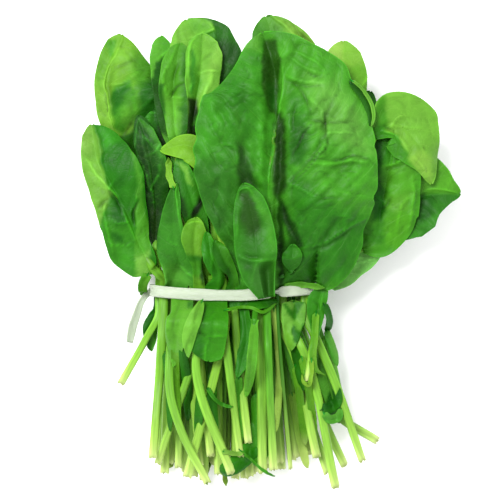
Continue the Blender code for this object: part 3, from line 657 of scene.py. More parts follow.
def placed(name, mesh, places, flat, materials):
    """Makes a piece of a mesh: its places, its map in centimetres and its materials."""
    mesh.vertices.foreach_set("co", ((places - (*BUNCH_MIDDLE, 0)) * MM).ravel())
    corner = np.zeros(len(mesh.loops), int)
    mesh.loops.foreach_get("vertex_index", corner)
    mesh.uv_layers.new(name="flat").data.foreach_set("uv", flat[corner].ravel())
    for material in materials:
        mesh.materials.append(material)
    mesh.update()
    mesh.shade_smooth()
    return new_object(name, mesh)


def leaf_object(spec, path, blade, base, t, relief):
    """Makes the mesh: an upper and a lower sheet joined at the edge, and a spun stalk."""
    s, v, count, colour = relief
    rows, columns = s.shape
    sheet_points = 2 * rows * columns
    finish, name = spec["finish"], spec["name"]
    draw = np.random.RandomState(sum(map(ord, name)) + 5)
    top = blade[..., :3] + (0, 0, 0.3)
    normal = np.cross(np.gradient(top, axis=1), np.gradient(top, axis=0))
    normal /= np.maximum(np.linalg.norm(normal, axis=2, keepdims=True), 1e-9)
    normal *= np.sign(normal[..., 2:] + 1e-9)
    under = top - normal * BLADE_SHEET

    # The midrib runs on from the stalk, sunk into the blade until only its back shows.
    middle = columns // 2
    rib = slice(base, base + int(np.sum(t[base:] < RIB_END)))
    rib_t = t[rib]
    girth = finish.get("girth", draw.uniform(0.94, 1.16)) * spec["radius"]
    thin = (girth * 0.95 * (1 - rib_t / (RIB_END + 0.01)) ** 1.2
            * (1 - 0.4 * smooth_step(rib_t / 0.3)) + THINNEST_RIB)
    sink = thin * 0.85 + RIB_COVER
    if not finish.get("apron"):
        sink = smooth_step(rib_t / 0.08) * sink
    if finish.get("shows") == "under":
        sink = -0.3 * sink
    rib_line = top[rib, middle] - normal[rib, middle] * sink[:, None]
    if finish.get("apron"):
        rib_line[:, 2] -= UNDER_APRON * (1 - smooth_step(rib_t / 0.3))
    line = np.vstack([path, rib_line])
    keep = np.concatenate([[True], np.linalg.norm(np.diff(line, axis=0), axis=1) > 0.2])
    swell = 1 + SWELL * np.sin(np.linspace(0, 5, len(path)) + draw.uniform(0, 6))
    radii = np.concatenate([girth * swell, thin])[keep]
    stem = int(np.sum(keep[:len(path)]))
    line = line[keep]

    bm = bmesh.new()
    sheet_grid(bm, rows, columns, 0)
    lower = sheet_grid(bm, rows, columns, 1)
    low_faces = list({face for vertex in lower for face in vertex.link_faces})
    bmesh.ops.reverse_faces(bm, faces=low_faces)
    for face in low_faces:
        face.material_index = 1
    bmesh.ops.bridge_loops(bm, edges=[e for e in bm.edges if len(e.link_faces) == 1])
    # The stalk is spun straight, and then bent along its own middle line.
    tube_bm = spun_tube(len(line) + len(CUT_END) - 1, AROUND)
    bmesh.ops.holes_fill(tube_bm, edges=[e for e in tube_bm.edges if len(e.link_faces) == 1])
    bmesh.ops.recalc_face_normals(tube_bm, faces=tube_bm.faces)
    for face in tube_bm.faces:
        face.material_index = 2
    tube_mesh = mesh_of("stalk", tube_bm)
    bm.from_mesh(tube_mesh)
    bpy.data.meshes.remove(tube_mesh)
    mesh = mesh_of(name, bm)

    co = points_of(mesh)
    i, j = (np.round(co[:sheet_points, axis]).astype(int) for axis in (1, 0))
    sheets = np.where(co[:sheet_points, 2:] < 0.5, top[i, j], under[i, j])
    row = np.round(co[sheet_points:, 2]).astype(int)
    angle = np.arctan2(co[sheet_points:, 1], co[sheet_points:, 0])
    ring = np.maximum(row - len(CUT_END) + 1, 0)
    tangent = np.gradient(line, axis=0)
    tangent /= np.linalg.norm(tangent, axis=1, keepdims=True)
    side = np.stack([tangent[:, 1], -tangent[:, 0], 0 * tangent[:, 0]], 1)
    for k in range(1, len(side)):
        if np.linalg.norm(side[k]) < 0.2:
            side[k] = side[k - 1]
    side /= np.linalg.norm(side, axis=1, keepdims=True)
    up = np.cross(side, tangent)
    r = radii[ring]
    facing = angle - math.pi / 2
    groove = (1 - GROOVE_DEPTH * np.exp(-(facing / GROOVE_WIDTH) ** 2)
              + RIDGES * np.cos(4 * angle + draw.uniform(0, 6)))
    groove = np.where(ring < stem, groove, 1)
    inset, inward = np.array(CUT_END).T[:, np.minimum(row, len(CUT_END) - 1)]
    turn = np.round((angle + math.pi) / (2 * math.pi) * AROUND).astype(int)
    torn = draw.uniform(-1, 1, AROUND + 1)[turn]
    tear = np.where(row < len(CUT_END), torn * RAGGED, 0)
    tube = (line[ring] + side[ring] * (np.cos(angle) * r * groove * inward * 1.05)[:, None]
            + up[ring] * (np.sin(angle) * r * groove * inward * 0.92)[:, None]
            + tangent[ring] * (inset + tear)[:, None])
    points = np.vstack([sheets, tube])
    # A stalk that would pass below the table is pressed flat against it.
    points[:, 2] = np.maximum(points[:, 2], LOWEST_STALK)

    tint = np.ones((len(points), 4))
    tint[:sheet_points, :3] = colour[i, j]
    # Each stalk's own tone differs at random; those in the lower rows, under the others, are
    # also darker, which is painted shade.
    mix = draw.uniform(-0.16, 0.12) - 0.13 * max(0, 1 - spec["row"])
    stalk = hex_colour(finish.get("stalk", STALK[spec["tone"]]))
    stalk = stalk * (1 + np.array((1.6, 0.6, 1)) * mix)
    run = length_along(line)
    fade = SHORT_PALE_REACH if spec["tucked"] else PALE_REACH
    cut = 0 if spec["end"] is HANGING else np.exp(-run / fade)[ring][:, None] * 0.85
    skin = stalk * (1 - cut) + hex_colour(PALE_END) * cut
    tip = cut * np.exp(-run / WHITE_REACH)[ring][:, None]
    skin = skin * (1 - tip) + hex_colour(WHITE_TIP) * tip
    rib_share = smooth_step((ring - stem + 1) / 8)[:, None]
    # Along the groove on top the stalk is darker, which is painted shade in the groove.
    tint[sheet_points:, :3] = (skin * (1 - 0.25 * np.exp(-(facing / 0.3) ** 2))[:, None]
                               * (1 - rib_share * 0.4)) * STALK_SHARE
    mesh.attributes.new("tint", "FLOAT_COLOR", "POINT").data.foreach_set("color", tint.ravel())
    for field_name, field in (("lateral", count[i, j]), ("veins", finish.get("veins", 0.35))):
        values = np.zeros(len(points))
        values[:sheet_points] = field
        mesh.attributes.new(field_name, "FLOAT", "POINT").data.foreach_set("value", values)
    flat = np.vstack([np.stack([v[i, j], s[i, j]], 1),
                      np.stack([np.cos(angle) * r, run[ring]], 1)]) / 10
    piece = placed(name + "_fine", mesh, points, flat, (upper_side, underside, stalk_skin))
    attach(piece, "root")
    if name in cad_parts:
        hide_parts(name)


def hidden_leaves():
    """The leaves inside and under the bunch, fanned out by a rule in three layers."""
    draw = random.Random(HIDDEN_SEED)
    layers = [(UNDER, "under", 84, [-4, -3, -2, -1, 0, 1, 2, 3, 4]),
              (INNER, "inner", 88, [-5.5, -4.5, -3.5, -2.5, -1.5, -0.5, 0.5, 1.5, 2.5, 3.5,
                                    4.5, 5.5]),
              (CORE, "core", 40, [-2, -1, 0, 1, 2, 3])]
    leaves = []
    for row, layer, reach, columns in layers:
        on_table = row == UNDER
        for count in list(range(0, len(columns), 2)) + list(range(1, len(columns), 2)):
            column = columns[count]
            tip_x = 16 + reach * (column / max(columns)) + draw.uniform(-4, 4)
            tip_y = 136 - 0.0056 * (tip_x - 14) ** 2 - draw.uniform(0, 16)
            start_x = column * PITCH_X
            length = draw.uniform(66, 80)
            base = 1 - length / math.hypot(tip_x - start_x, tip_y)
            bow = draw.uniform(-4, 4)
            points = []
            for t in (0, 0.35, 0.7, 1):
                along = base + (1 - base) * t
                points.append((start_x + (tip_x - start_x) * along + bow * math.sin(math.pi * t),
                               tip_y * along))
            half = draw.uniform(17, 21)
            widths = [half * k for k in (0.35, 0.85, 1.0, 0.94, 0.72, 0.45)]
            end_x = column * 9.2 + draw.uniform(-2, 2)
            end = (end_x, -119 + 0.006 * end_x ** 2 + draw.uniform(-6, 6))
            leaves.append(leaf(
                f"{layer}_leaf_{count + 1:02d}", row, column, end, points, widths, widths,
                heights=(-16, -21, -20) if on_table else (-8, -4, -4),
                fold=(3, 3) if on_table else (5, 5), curl=(8, 8) if on_table else (4, 4),
                tone="dark", wave=0 if on_table else 1.0))
    return leaves


pile = Pile(0.5)
for spec in hidden_leaves():
    grow(spec, pile, step=3.0)


# ================================================================ leaves at the back
# The leaves that the others lie on. Each is drawn with its own colours, folds and veins,
# and with painted shade and light: an area is a colour, in places the leaf's own and in
# places painted shade and light of its folds, how soft its edge is and its outline, and a
# line is a rise, a half-width, stops of painted shade (negative is painted light) and its
# points.

BACK_LEAVES = [
    leaf("left_hanging_leaf", -1, -6.5, HANGING, [(-48, -13), (-54, -24), (-54, -39)],
         (4, 5, 5, 5, 4, 2), (4, 5, 5, 4, 3, 2), heights=(1, 1, -4), tone="dark",
         face=("#55aa36", "#1f7413"), apron=(-47, -3, -4, 4, 5)),
    leaf("ragged_low_leaf", 0, 6, (71, -113), [(59, 13), (69, 19), (81, 28), (94, 42)],
         (8, 16, 20, 20, 15, 9), (14, 16, 15, 14, 11, 8), heights=(3, 6, 6), tone="light",
         below=((50, -45), (57, -81)), above=((45, 12),), lobe=(0, 6), shows="under",
         face=("#8ce88a", "#92ea92"), ripple=2.2, pucker=2, veins=0.7, lines=[
         (0.6, 0.7, -0.5, [(64, 5), (72, 13), (82, 22), (92, 28)]),
         (0.4, 0.5, -0.5, [(76, 17), (84, 18), (90, 20)]),
         (-0.8, 1.3, 0.8, [(80, 29), (88, 29), (95, 28)]),
         (-0.5, 0.9, 0.7, [(81, 22), (84, 22)]),
         (-0.5, 1, 0.6, [(95, 25), (97, 26)])]),
    leaf("right_far_leaf", 0, 5, (92, -97), [(90, 38), (108, 54), (124, 61), (144, 62)],
         (12, 28, 36, 33, 21, 8), (10, 19, 22, 21, 12, 5), heights=(4, 12, 8), fold=(30, 18),
         curl=(-25, -10), below=((40, -25), (66, -80)), above=((43, 17), (66, 29)), radius=2.2,
         tone="dark", columns=3, face=("#62b53c", "#37872a"), areas=[
         ("#226a14", 3, [(114, 60), (121, 63), (128, 60), (127, 48), (118, 42), (114, 50)]),
         ("#3f9632", 2, [(110, 33), (118, 42), (124, 45), (132, 50), (128, 44), (118, 35)])],
         lines=[
         (0.8, 0.8, -0.35, [(115, 60), (122, 64), (132, 64.5), (142, 61.5)]),
         (0.3, 0.6, -0.4, [(116, 49), (122, 49)]),
         (0.5, 0.8, -0.2, [(134, 63), (138, 72), (133, 86)])]),
    leaf("dark_gap_leaf", 0, 4, (60, -118), [(58, 50), (73, 88), (87, 127)],
         (6, 11, 14, 13, 11, 7), (6, 11, 14, 13, 11, 6), tone="dark",
         face=("#2d7a1a", "#2f8019"), areas=[
         ("#1e5c12", 2.5, [(76, 100), (84, 118), (92, 112), (95, 100), (95, 60), (84, 60)])]),
    leaf("left_top_leaf", 0, -6, (-45, -118), [(-66, 80), (-75, 100), (-80, 118), (-81, 133),
         (-78, 147), (-72, 163)], (4, 7, 8, 8, 8, 7), (14, 34, 41, 43, 32, 16),
         heights=(6, 16, 10), fold=(-10, 30), curl=(-20, -45), columns=3, tone="light",
         face=("#8ccb58", "#7fbf49"), rib=0.3, pucker=1.5, veins=0.4, rim=0.2, areas=[
         ("#74b944", 3, [(-88, 148), (-80, 160), (-74, 161), (-80, 145), (-84, 128),
          (-88, 132)]),
         ("#5bb030", 1.5, [(-81, 159), (-75, 160), (-77, 149), (-79, 148)]),
         ("#57a633", 7, [(-64, 150), (-48, 152), (-38, 138), (-38, 104), (-64, 106)]),
         ("#1f6b0f", 5, [(-59, 131), (-50, 138), (-40, 126), (-38, 98), (-48, 94), (-62, 106),
          (-62, 120)]),
         ("#4a9d2a", 1.8, [(-76, 131), (-66, 134), (-62.5, 122), (-63, 112), (-70, 99),
          (-76, 105), (-79, 118)]),
         ("#2f8519", 2.6, [(-77, 124), (-69, 131), (-67, 127), (-72, 120), (-77, 114)]),
         ("#2a6a18", 1.6, [(-76, 98), (-68, 99), (-60, 105), (-50, 112), (-40, 112), (-40, 60),
          (-80, 60)]),
         ("#237512", 1.8, [(-76, 124), (-70, 130), (-67, 128), (-72, 119), (-76, 113)]),
         ("#60ad3b", 2.5, [(-71, 117), (-65, 121), (-64, 112), (-68, 105), (-72, 108)])], lines=[
         (1.2, 0.8, -0.25, [(-71, 161), (-75, 150), (-80, 142), (-82, 133), (-80.5, 121),
          (-79.5, 113), (-76, 102)]),
         (-1.4, 2, 0.3, [(-78, 140), (-79, 128), (-77, 113)]),
         (1.2, 1, -0.25, [(-80, 131), (-71, 132), (-65, 135), (-60, 139)]),
         (1.2, 1.2, -0.25, [(-63, 136), (-62, 124), (-63, 113)]),
         (-1, 1, 0.35, [(-75, 141), (-68, 144), (-63, 147)]),
         (0.8, 0.8, -0.2, [(-62, 131), (-57, 135), (-54, 142)]),
         (0.8, 1.2, -0.35, [(-61, 115), (-56, 118), (-51, 122)]),
         (-1.2, 1, 0.7, [(-63, 112), (-66, 105), (-70, 99)])]),
    leaf("left_shade_leaf", 0, -5, (-36, -114), [(-45, 50), (-48, 80), (-51, 114)],
         (5, 7, 9, 9, 8, 6), (5, 7, 9, 9, 8, 6), tone="dark", face=("#2f7c1f", "#22661a"),
         areas=[
         ("#173a0f", 2.5, [(-47, 103), (-42, 108), (-41, 80), (-46, 80)])], lines=[
         (0.5, 0.6, -0.7, [(-60, 111), (-56, 114), (-50, 112.5), (-46, 112)]),
         (0.5, 1.5, -0.5, [(-54, 112), (-54, 107)])]),
    leaf("top_notch_leaf", 0, -4, (-26, -120), [(-38, 90), (-43, 125), (-47, 162)],
         (4, 7, 8, 8, 8, 6), (4, 8, 9, 10, 9, 6), tone="dark", face=("#62b642", "#57ad38"),
         areas=[
         ("#225d13", 2, [(-56, 134), (-43, 134), (-42, 98), (-54, 98)]),
         ("#246c12", 0.9, [(-50, 145), (-43, 151), (-40, 154), (-34, 155), (-34, 130),
          (-52, 130)])], lines=[
         (1, 0.7, -0.5, [(-49, 147), (-44, 151), (-40, 154), (-35, 155)])]),
    leaf("left_dark_leaf", 0, -7, (-73, -60), [(-50, 26), (-50, 56), (-53, 84), (-60, 111)],
         (3, 5, 6, 8, 8, 5), (4, 7, 9, 10, 8, 5), below=((-56, -30),), heights=(8, 14, 10),
         fold=(10, 20), tone="dark", rib=0.3, veins=0.9, pucker=1.8, stalk="#8fcb3c",
         face=("#1b5213", "#205d15"), areas=[
         ("#3f912b", 1.6, [(-61, 109), (-48, 99), (-43, 86), (-41, 74), (-45, 76), (-48, 90),
          (-54, 98)]),
         ("#15420d", 4, [(-60, 92), (-54, 93), (-50, 78), (-47, 55), (-50, 30), (-54, 40),
          (-57, 60)]),
         ("#1b3c12", 2, [(-53, 52), (-48, 52), (-48, 22), (-53, 22)]),
         ("#2c6c22", 2, [(-47, 84), (-43, 84), (-42, 68), (-47, 66)])], lines=[
         (0.7, 0.8, -1.2, [(-62, 88), (-58, 80), (-55, 72), (-52.5, 62)]),
         (0.7, 0.8, -1, [(-58, 98), (-54, 94), (-50, 91)]),
         (0.7, 0.8, -1.2, [(-53, 64), (-49, 71), (-47, 80)]),
         (0.4, 0.5, -1.2, [(-54, 64), (-49, 62)]),
         (0.4, 0.5, -1.2, [(-53, 60), (-48, 60)]),
         (0.4, 0.5, -1.2, [(-53, 55.5), (-48, 55.5)]),
         (0.7, 0.8, -0.8, [(-60, 104), (-56, 90), (-53, 76), (-51.5, 60), (-50.5, 44)]),
         (0.6, 0.8, -0.7, [(-55, 86), (-50, 88), (-46, 94)]),
         (0.6, 0.8, -0.7, [(-57, 92), (-60, 96), (-62, 102)]),
         (0.6, 0.8, -0.7, [(-52, 72), (-57, 74), (-61, 80)]),
         (0.6, 0.8, -0.7, [(-51.5, 58), (-56, 60), (-59, 66)]),
         (0.8, 0.8, -1, [(-61, 108), (-62.5, 100), (-62.5, 88)]),
         (0.8, 0.7, -0.6, [(-61, 110), (-50, 101), (-44, 89), (-42, 76)])]),
    leaf("right_hanging_leaf", 0, 7, HANGING, [(56, -32), (61, -60), (67, -85)],
         (4, 6, 7, 7, 6, 3), (4, 6, 7, 6, 5, 3), heights=(2, 4, 0), face=("#7fc96b", "#5fb045"),
         shows="under", areas=[
         ("#1d6a10", 1.2, [(62, -60), (70, -64), (68, -74), (60, -78), (54, -80), (58, -70)])]),
]

for spec in BACK_LEAVES:
    grow(spec, pile, step=1.1)


# ============================================================== leaves in the middle
# The broad leaves that make most of the bunch's face: thin waxy blades, puckered between
# their veins. Their stalks run through the tie. The great one lies on top of them.

# Like those at the back, their areas and lines are partly their own colour and partly painted
# shade and light of their folds and creases.
MIDDLE_LEAVES = [
    leaf("top_leaf_left", 1, -1.5, (-10, -118), [(-16, 88), (-15, 118), (-18, 146), (-30, 172)],
         (6, 14, 20, 25, 22, 14), (5, 12, 18, 23, 22, 13), heights=(2, 12, 8), fold=(10, 25),
         curl=(-25, -30), columns=3, rib=0, face=("#2f7d1b", "#2a7418"), areas=[
         ("#84ca5d", 1, [(-45, 174), (-30, 174), (-14, 170), (-12, 166), (-22, 161), (-25, 150),
          (-40, 150), (-46, 160)]),
         ("#6ab944", 4, [(-30, 172), (-16, 170), (-14, 166), (-23, 163)]),
         ("#4b9f31", 1.4, [(-23, 161), (-13, 165), (-12.5, 157), (-18, 156)]),
         ("#1d5a10", 4, [(-10, 158), (2, 156), (6, 148), (-3, 140), (-9, 146)])], lines=[
         (1.6, 0.8, -0.5, [(-15, 168.5), (-12.6, 166.5), (-17, 164), (-23, 161.5), (-28, 160)]),
         (0.8, 0.8, -0.3, [(-12.8, 165), (-12.4, 160), (-13, 156)]),
         (-1, 1.5, 0.25, [(-36, 166), (-34, 158), (-35, 152)]),
         (0.8, 0.7, -0.6, [(-7, 144), (-2, 142)])]),
    leaf("rolled_top_leaf", 1, -4.5, (-22, -112), [(-35, 84), (-37, 105), (-38, 130),
         (-34, 156)], (3, 5, 7, 9, 9, 7), (3, 7, 9, 10, 10, 8), heights=(4, 14, 10),
         fold=(30, 30), tone="light", rib=0, pucker=1.6, face=("#58a934", "#55a52f"), areas=[
         ("#66b540", 2, [(-43, 122), (-33, 122), (-32, 96), (-43, 96)]),
         ("#2a6f18", 1, [(-54, 130), (-44.5, 130), (-43.5, 112), (-42.5, 100), (-54, 96)]),
         ("#3f8f22", 1.5, [(-32, 150), (-29, 148), (-28, 100), (-32, 100)]),
         ("#2f7a18", 2, [(-34, 116), (-26, 118), (-26, 92), (-34, 94)])], lines=[
         (-1.2, 0.8, 0.7, [(-31, 130), (-35, 129), (-38, 124), (-40, 120)]),
         (0.7, 0.9, -0.3, [(-37, 120), (-37, 108), (-36, 98)]),
         (0.7, 0.8, -0.3, [(-40, 122), (-36, 121.5), (-31, 121)]),
         (1, 0.8, -0.4, [(-36, 154), (-41, 143), (-45, 136), (-43, 126), (-40, 121)]),
         (-0.8, 1, 0.4, [(-34, 145), (-36, 139), (-38, 133)])]),
    leaf("pale_top_leaf", 1, -3.5, (-15, -106), [(-27, 92), (-25, 113), (-21, 138), (-20, 162)],
         (3, 3, 5, 9, 10, 8), (3, 7, 9, 13, 13, 10), heights=(6, 18, 14), fold=(30, 25),
         tone="light", rib=0, face=("#70bf49", "#82c95c"), areas=[
         ("#3f9434", 1.3, [(-28, 152), (-25.5, 152), (-24.5, 137), (-26, 120), (-28.5, 128)]),
         ("#4a9c26", 2.5, [(-25.5, 142), (-22, 140), (-22, 125), (-25, 120)]),
         ("#17330c", 2.2, [(-30, 122), (-24, 120), (-21, 103), (-23, 92), (-32, 92),
          (-31, 110)]),
         ("#3b8a1d", 1.8, [(-27, 104), (-22, 108), (-20, 112), (-22, 114), (-25, 110)]),
         ("#93d46c", 2, [(-13, 156), (-7, 150), (-8, 142), (-14, 133), (-18, 124), (-15, 142)])],
         lines=[
         (1, 0.7, -0.5, [(-28.5, 133), (-29, 145), (-27, 157), (-24, 161)]),
         (0.8, 0.8, -0.3, [(-9, 138), (-17, 138), (-22, 136)]),
         (-0.8, 0.9, 0.3, [(-14, 150), (-18, 147), (-20, 145)]),
         (1.4, 1.3, -0.4, [(-13, 138), (-17, 127), (-21, 116), (-25, 106)]),
         (0.6, 0.7, -0.7, [(-27, 131), (-27.5, 128), (-27, 125)])]),
    leaf("top_leaf_right", 1, 0.5, (1, -119), [(33, 68), (35, 108), (31, 140), (20, 174)],
         (8, 20, 26, 24, 17, 12), (8, 20, 28, 28, 23, 14), heights=(2, 12, 10), fold=(12, 18),
         tone="light", columns=3, rib=0.1, pucker=1.6, face=("#62ac4b", "#66b04e"), areas=[
         ("#8cc65c", 4, [(24, 176), (40, 170), (58, 158), (62, 146), (50, 150), (34, 162)]),
         ("#4c9836", 5, [(6, 170), (14, 176), (22, 164), (40, 154), (52, 146), (60, 130),
          (20, 140), (8, 150)])], lines=[
         (1.2, 1, -0.3, [(22, 176), (34, 166), (46, 154)]),
         (-1, 1.2, 0.3, [(36, 172), (42, 162), (52, 156)])]),
    leaf("right_top_leaf", 1, 3.5, (53, -107), [(48, 66), (59, 105), (67, 135), (69, 158)],
         (6, 13, 16, 16, 13, 9), (6, 15, 19, 19, 17, 12), heights=(2, 14, 12), tone="light",
         below=((34, -31),), rib=0.25, face=("#a8d87a", "#8cc957"), areas=[
         ("#6fb53c", 3, [(60, 140), (72, 143), (88, 142), (88, 116), (58, 116)])], lines=[
         (1, 0.8, -0.4, [(85, 136), (81, 129), (78, 124)])]),
    leaf("right_wide_leaf", 1, 6.5, (82, -109), [(88, 31), (93, 52), (98, 78), (103, 113)],
         (18, 24, 24, 24, 20, 12), (15, 24, 23, 20, 16, 11), heights=(4, 12, 12), fold=(25, 25),
         curl=(-20, -30), below=((52, -30), (64, -58)), columns=3, lobe=(4, 1),
         apron=(81, 27, -1, 4, 3), rib=0, pucker=1.8, face=("#489e28", "#4ea62c"), areas=[
         ("#1e6a0e", 1.6, [(90, 112), (94.5, 108), (94, 88), (92, 70), (97, 62), (94, 56),
          (86, 62)]),
         ("#348f1b", 3.5, [(95, 98), (102, 92), (98, 84), (94, 80)]),
         ("#5bb036", 3, [(95, 78), (110, 82), (116, 74), (112, 62), (99, 60), (97, 70)]),
         ("#1f7410", 2.2, [(86, 61), (93, 62), (97, 52), (93, 43), (87, 45)]),
         ("#6bba43", 4, [(98, 60), (111, 62), (112, 52), (104, 48), (97, 52)]),
         ("#59ae2c", 3, [(95, 48), (112, 50), (110, 36), (104, 27), (96, 30)]),
         ("#3f9624", 2.5, [(82, 42), (94, 42), (94, 30), (82, 30)])], lines=[
         (1.2, 0.8, -0.45, [(94, 79), (100, 80), (106, 83), (112, 86)]),
         (-1, 1.2, 0.4, [(95, 76.5), (101, 77.5), (107, 80)]),
         (1.4, 1.4, -0.35, [(113, 72), (113.5, 62), (112.5, 50), (110, 38)]),
         (0.8, 0.8, -0.35, [(88, 60), (93, 58), (97, 53)]),
         (0.7, 0.8, -0.3, [(112, 60), (107, 56), (104, 47), (103, 36)]),
         (-1, 1, 0.5, [(93, 52), (97, 55), (99, 59)])]),
    leaf("right_drooping_leaf", 1, 4.5, (65, -126), [(89, 100), (101, 106), (114, 95), (121, 82),
         (125, 68)], (9, 19, 22, 14, 7, 4), (6, 13, 17, 15, 8, 4), heights=(12, 16, 2),
         fold=(5, 5), curl=(-35, -20), above=((58, 34), (76, 72)), below=((42, -34),),
         tone="light", rib=0, pucker=1.4, apron=(83, 97, -1, 4, 3), face=("#80c456", "#80c254"),
         areas=[
         ("#4ea028", 2, [(88, 118), (95, 124), (95, 113), (98, 103), (92, 100), (88, 106)]),
         ("#4ba32b", 0.8, [(88, 104), (92, 102.5), (102.5, 98), (112, 83), (118, 75), (118, 60),
          (84, 60), (84, 104)]),
         ("#3b931d", 3, [(88, 106), (94, 104), (96, 96), (88, 92)]),
         ("#97d267", 2.5, [(110, 84), (120, 90), (125, 84), (125, 68), (119, 72)])], lines=[
         (1, 0.9, -0.25, [(99, 103), (103, 109), (111, 111)]),
         (1.2, 1, -0.4, [(94, 101), (101, 98), (106, 94), (110, 87)]),
         (-0.9, 1, 0.5, [(94.5, 104), (97.5, 102), (100.5, 101)]),
         (0.8, 1, -0.2, [(101, 104), (110, 103), (119, 103)]),
         (0.8, 0.9, -0.2, [(113, 85), (117, 81), (121, 74)]),
         (-0.6, 0.7, 0.6, [(119.5, 91), (120.5, 90)])]),
    leaf("middle_green_leaf", 1, -2.5, (-49, -111), [(-19, 26), (-24, 48), (-30, 68), (-35, 84)],
         (4, 6, 8, 8, 7, 4), (4, 6, 7, 7, 6, 4), rib=0.1, face=("#2f8119", "#3b9022"), areas=[
         ("#1c4d10", 1.8, [(-35, 60), (-31, 58), (-29, 46), (-33, 44)]),
         ("#76bb4e", 1.4, [(-37, 80), (-29, 78), (-25, 66), (-28, 68), (-31, 73)]),
         ("#0f2609", 1, [(-26.5, 48), (-22.5, 59), (-20.5, 53), (-24.5, 45)])]),
    leaf("yellow_green_leaf", 1, -0.5, (-30, -119), [(-12, 62), (-16, 80), (-28, 91), (-46, 89)],
         (3, 6, 9, 10, 8, 4), (3, 6, 8, 8, 6, 3), heights=(4, 8, 6), tone="light", rib=0,
         veins=0.2, face=("#84c340", "#88c845")),
    leaf("left_outer_leaf", 1, -6.5, (-52, -107), [(-52, 15), (-61, 31), (-67, 48), (-77, 66),
         (-87, 84), (-90, 105)], (14, 20, 19, 15, 10, 7), (5, 8, 14, 23, 22, 16),
         heights=(6, 16, 14), fold=(15, 25), curl=(-25, -40), columns=3, lobe=(4, 0), rib=0.15,
         pucker=1.4, face=("#3c9323", "#2f8718"), areas=[
         ("#82c35c", 1.5, [(-101, 108), (-89.5, 108), (-87, 96), (-84.5, 85), (-82, 68),
          (-79, 60), (-81, 52), (-84, 42), (-88, 34), (-104, 40)]),
         ("#93cd6f", 3, [(-98, 105), (-91, 104), (-92, 88), (-98, 84)]),
         ("#257910", 4, [(-79, 98), (-72, 96), (-65, 84), (-66, 68), (-72, 60), (-69, 52),
          (-66, 52), (-76, 64), (-81, 76)]),
         ("#399c1e", 3, [(-87, 103), (-76, 104), (-71, 97), (-82, 90)]),
         ("#1c690d", 3, [(-77, 58), (-72, 58), (-67, 44), (-75, 42), (-79, 47)]),
         ("#206f11", 2, [(-79, 37), (-70, 36), (-70, 31), (-77, 31)]),
         ("#3f9a26", 3, [(-76, 28), (-64, 28), (-62, 12), (-74, 14)]),
         ("#58ad3a", 1, [(-63, 50), (-57.5, 58), (-54.5, 42), (-53, 25), (-54, 17), (-62.5, 15),
          (-62, 32)]),
         ("#86ca66", 2.5, [(-62, 22), (-54, 24), (-52, 8), (-62, 8)]),
         ("#55a83a", 1.6, [(-66, 92), (-62, 84), (-58, 70), (-56.5, 56), (-60, 60), (-63, 78)])],
         lines=[
         (1, 0.8, -0.6, [(-93, 83), (-86, 73), (-80, 65), (-75, 60), (-70, 50), (-66, 42),
          (-62, 32)]),
         (-1.8, 1.2, 0.6, [(-79, 61), (-74, 57), (-70, 49)]),
         (1.6, 1.5, 0, [(-88, 103), (-84.5, 86), (-81, 68)]),
         (-1.6, 1, 1, [(-61, 55), (-64, 48), (-63, 42)]),
         (0.7, 0.6, -0.5, [(-79, 46), (-74, 43), (-66, 44)]),
         (0.7, 0.6, -0.5, [(-79, 29), (-72, 28.5), (-63, 30)]),
         (0.7, 0.7, -0.4, [(-61, 62), (-62, 55), (-66, 49)]),
         (0.6, 0.8, -0.4, [(-76, 70), (-80, 64), (-84, 66)]),
         (1.2, 1, -0.4, [(-81.5, 58), (-82, 50), (-80, 38), (-77, 24)]),
         (-1.2, 1.2, 0.6, [(-86, 53), (-83, 56), (-80, 58)])]),
    leaf("front_left_leaf", 1, -5.5, (-17, -122), [(-33, 12), (-37, 28), (-38, 48), (-36, 68)],
         (12, 12, 11, 8, 5, 3), (8, 9, 7, 5, 4, 2), heights=(3, 8, 8),
         below=((-41, -40), (-40, -69), (-34, -88)), fold=(12, 12), lobe=(7, 7),
         apron=(-33, -1, -4, 14, 13), rib=0.1, face=("#3f9130", "#469c35"), areas=[
         ("#357f27", 3, [(-42, 66), (-36, 72), (-37, 45), (-44, 42)]),
         ("#3a9120", 1, [(-36.5, 72), (-34, 74), (-31.5, 44), (-34.5, 50)]),
         ("#62b450", 4, [(-48, 16), (-34, 16), (-26, 2), (-50, 2)]),
         ("#2b6f1e", 1.2, [(-58, 38), (-48.5, 38), (-49, 18), (-58, 16)])], lines=[
         (0.9, 0.8, -0.4, [(-40, 20.5), (-35, 16), (-28, 10), (-21, 3)]),
         (0.9, 0.7, -0.6, [(-36.5, 76), (-36.2, 62), (-35, 48), (-32.5, 36)]),
         (-0.7, 1.2, 0.3, [(-45, 24), (-40, 20), (-34, 14)]),
         (0.6, 1, -0.3, [(-46, 18), (-44, 10), (-43, 4)]),
         (0.5, 0.7, -0.3, [(-42, 34), (-38, 30), (-34, 28)])]),
    leaf("band_cover_leaf", 1, 5.5, (47, -57), [(51, -29), (53, -12), (57, 9)],
         (2.5, 4, 6.5, 7.5, 3.8, 1.5), (2.5, 4, 5, 5, 4, 2.5), heights=(8, 10, 8), fold=(6, 6),
         tucked=True, rib=0.1, face=("#379019", "#42a021"), stalk="#6fb52c", lines=[
         (-0.8, 1.2, 0.4, [(49, -6), (53, -9), (54, -16)]),
         (0.7, 0.9, -0.25, [(57, -2), (55, -8), (54, -14)])]),
    leaf("low_hanging_leaf", 1, 1.5, HANGING, [(19, -50), (19, -80), (17, -113)],
         (3, 5, 6, 7, 6, 3), (3, 5, 6, 6, 5, 3), heights=(-3, -2, -4),
         face=("#59ac35", "#4aa22b")),
    leaf("great_leaf", 1, 2.5, (18, -116), [(18, 14), (21, 35), (22, 62), (25, 95), (28, 127),
         (18, 162)], (18, 35, 48, 49, 42, 20), (47, 62, 68, 64, 43, 22), heights=(6, 32, 30),
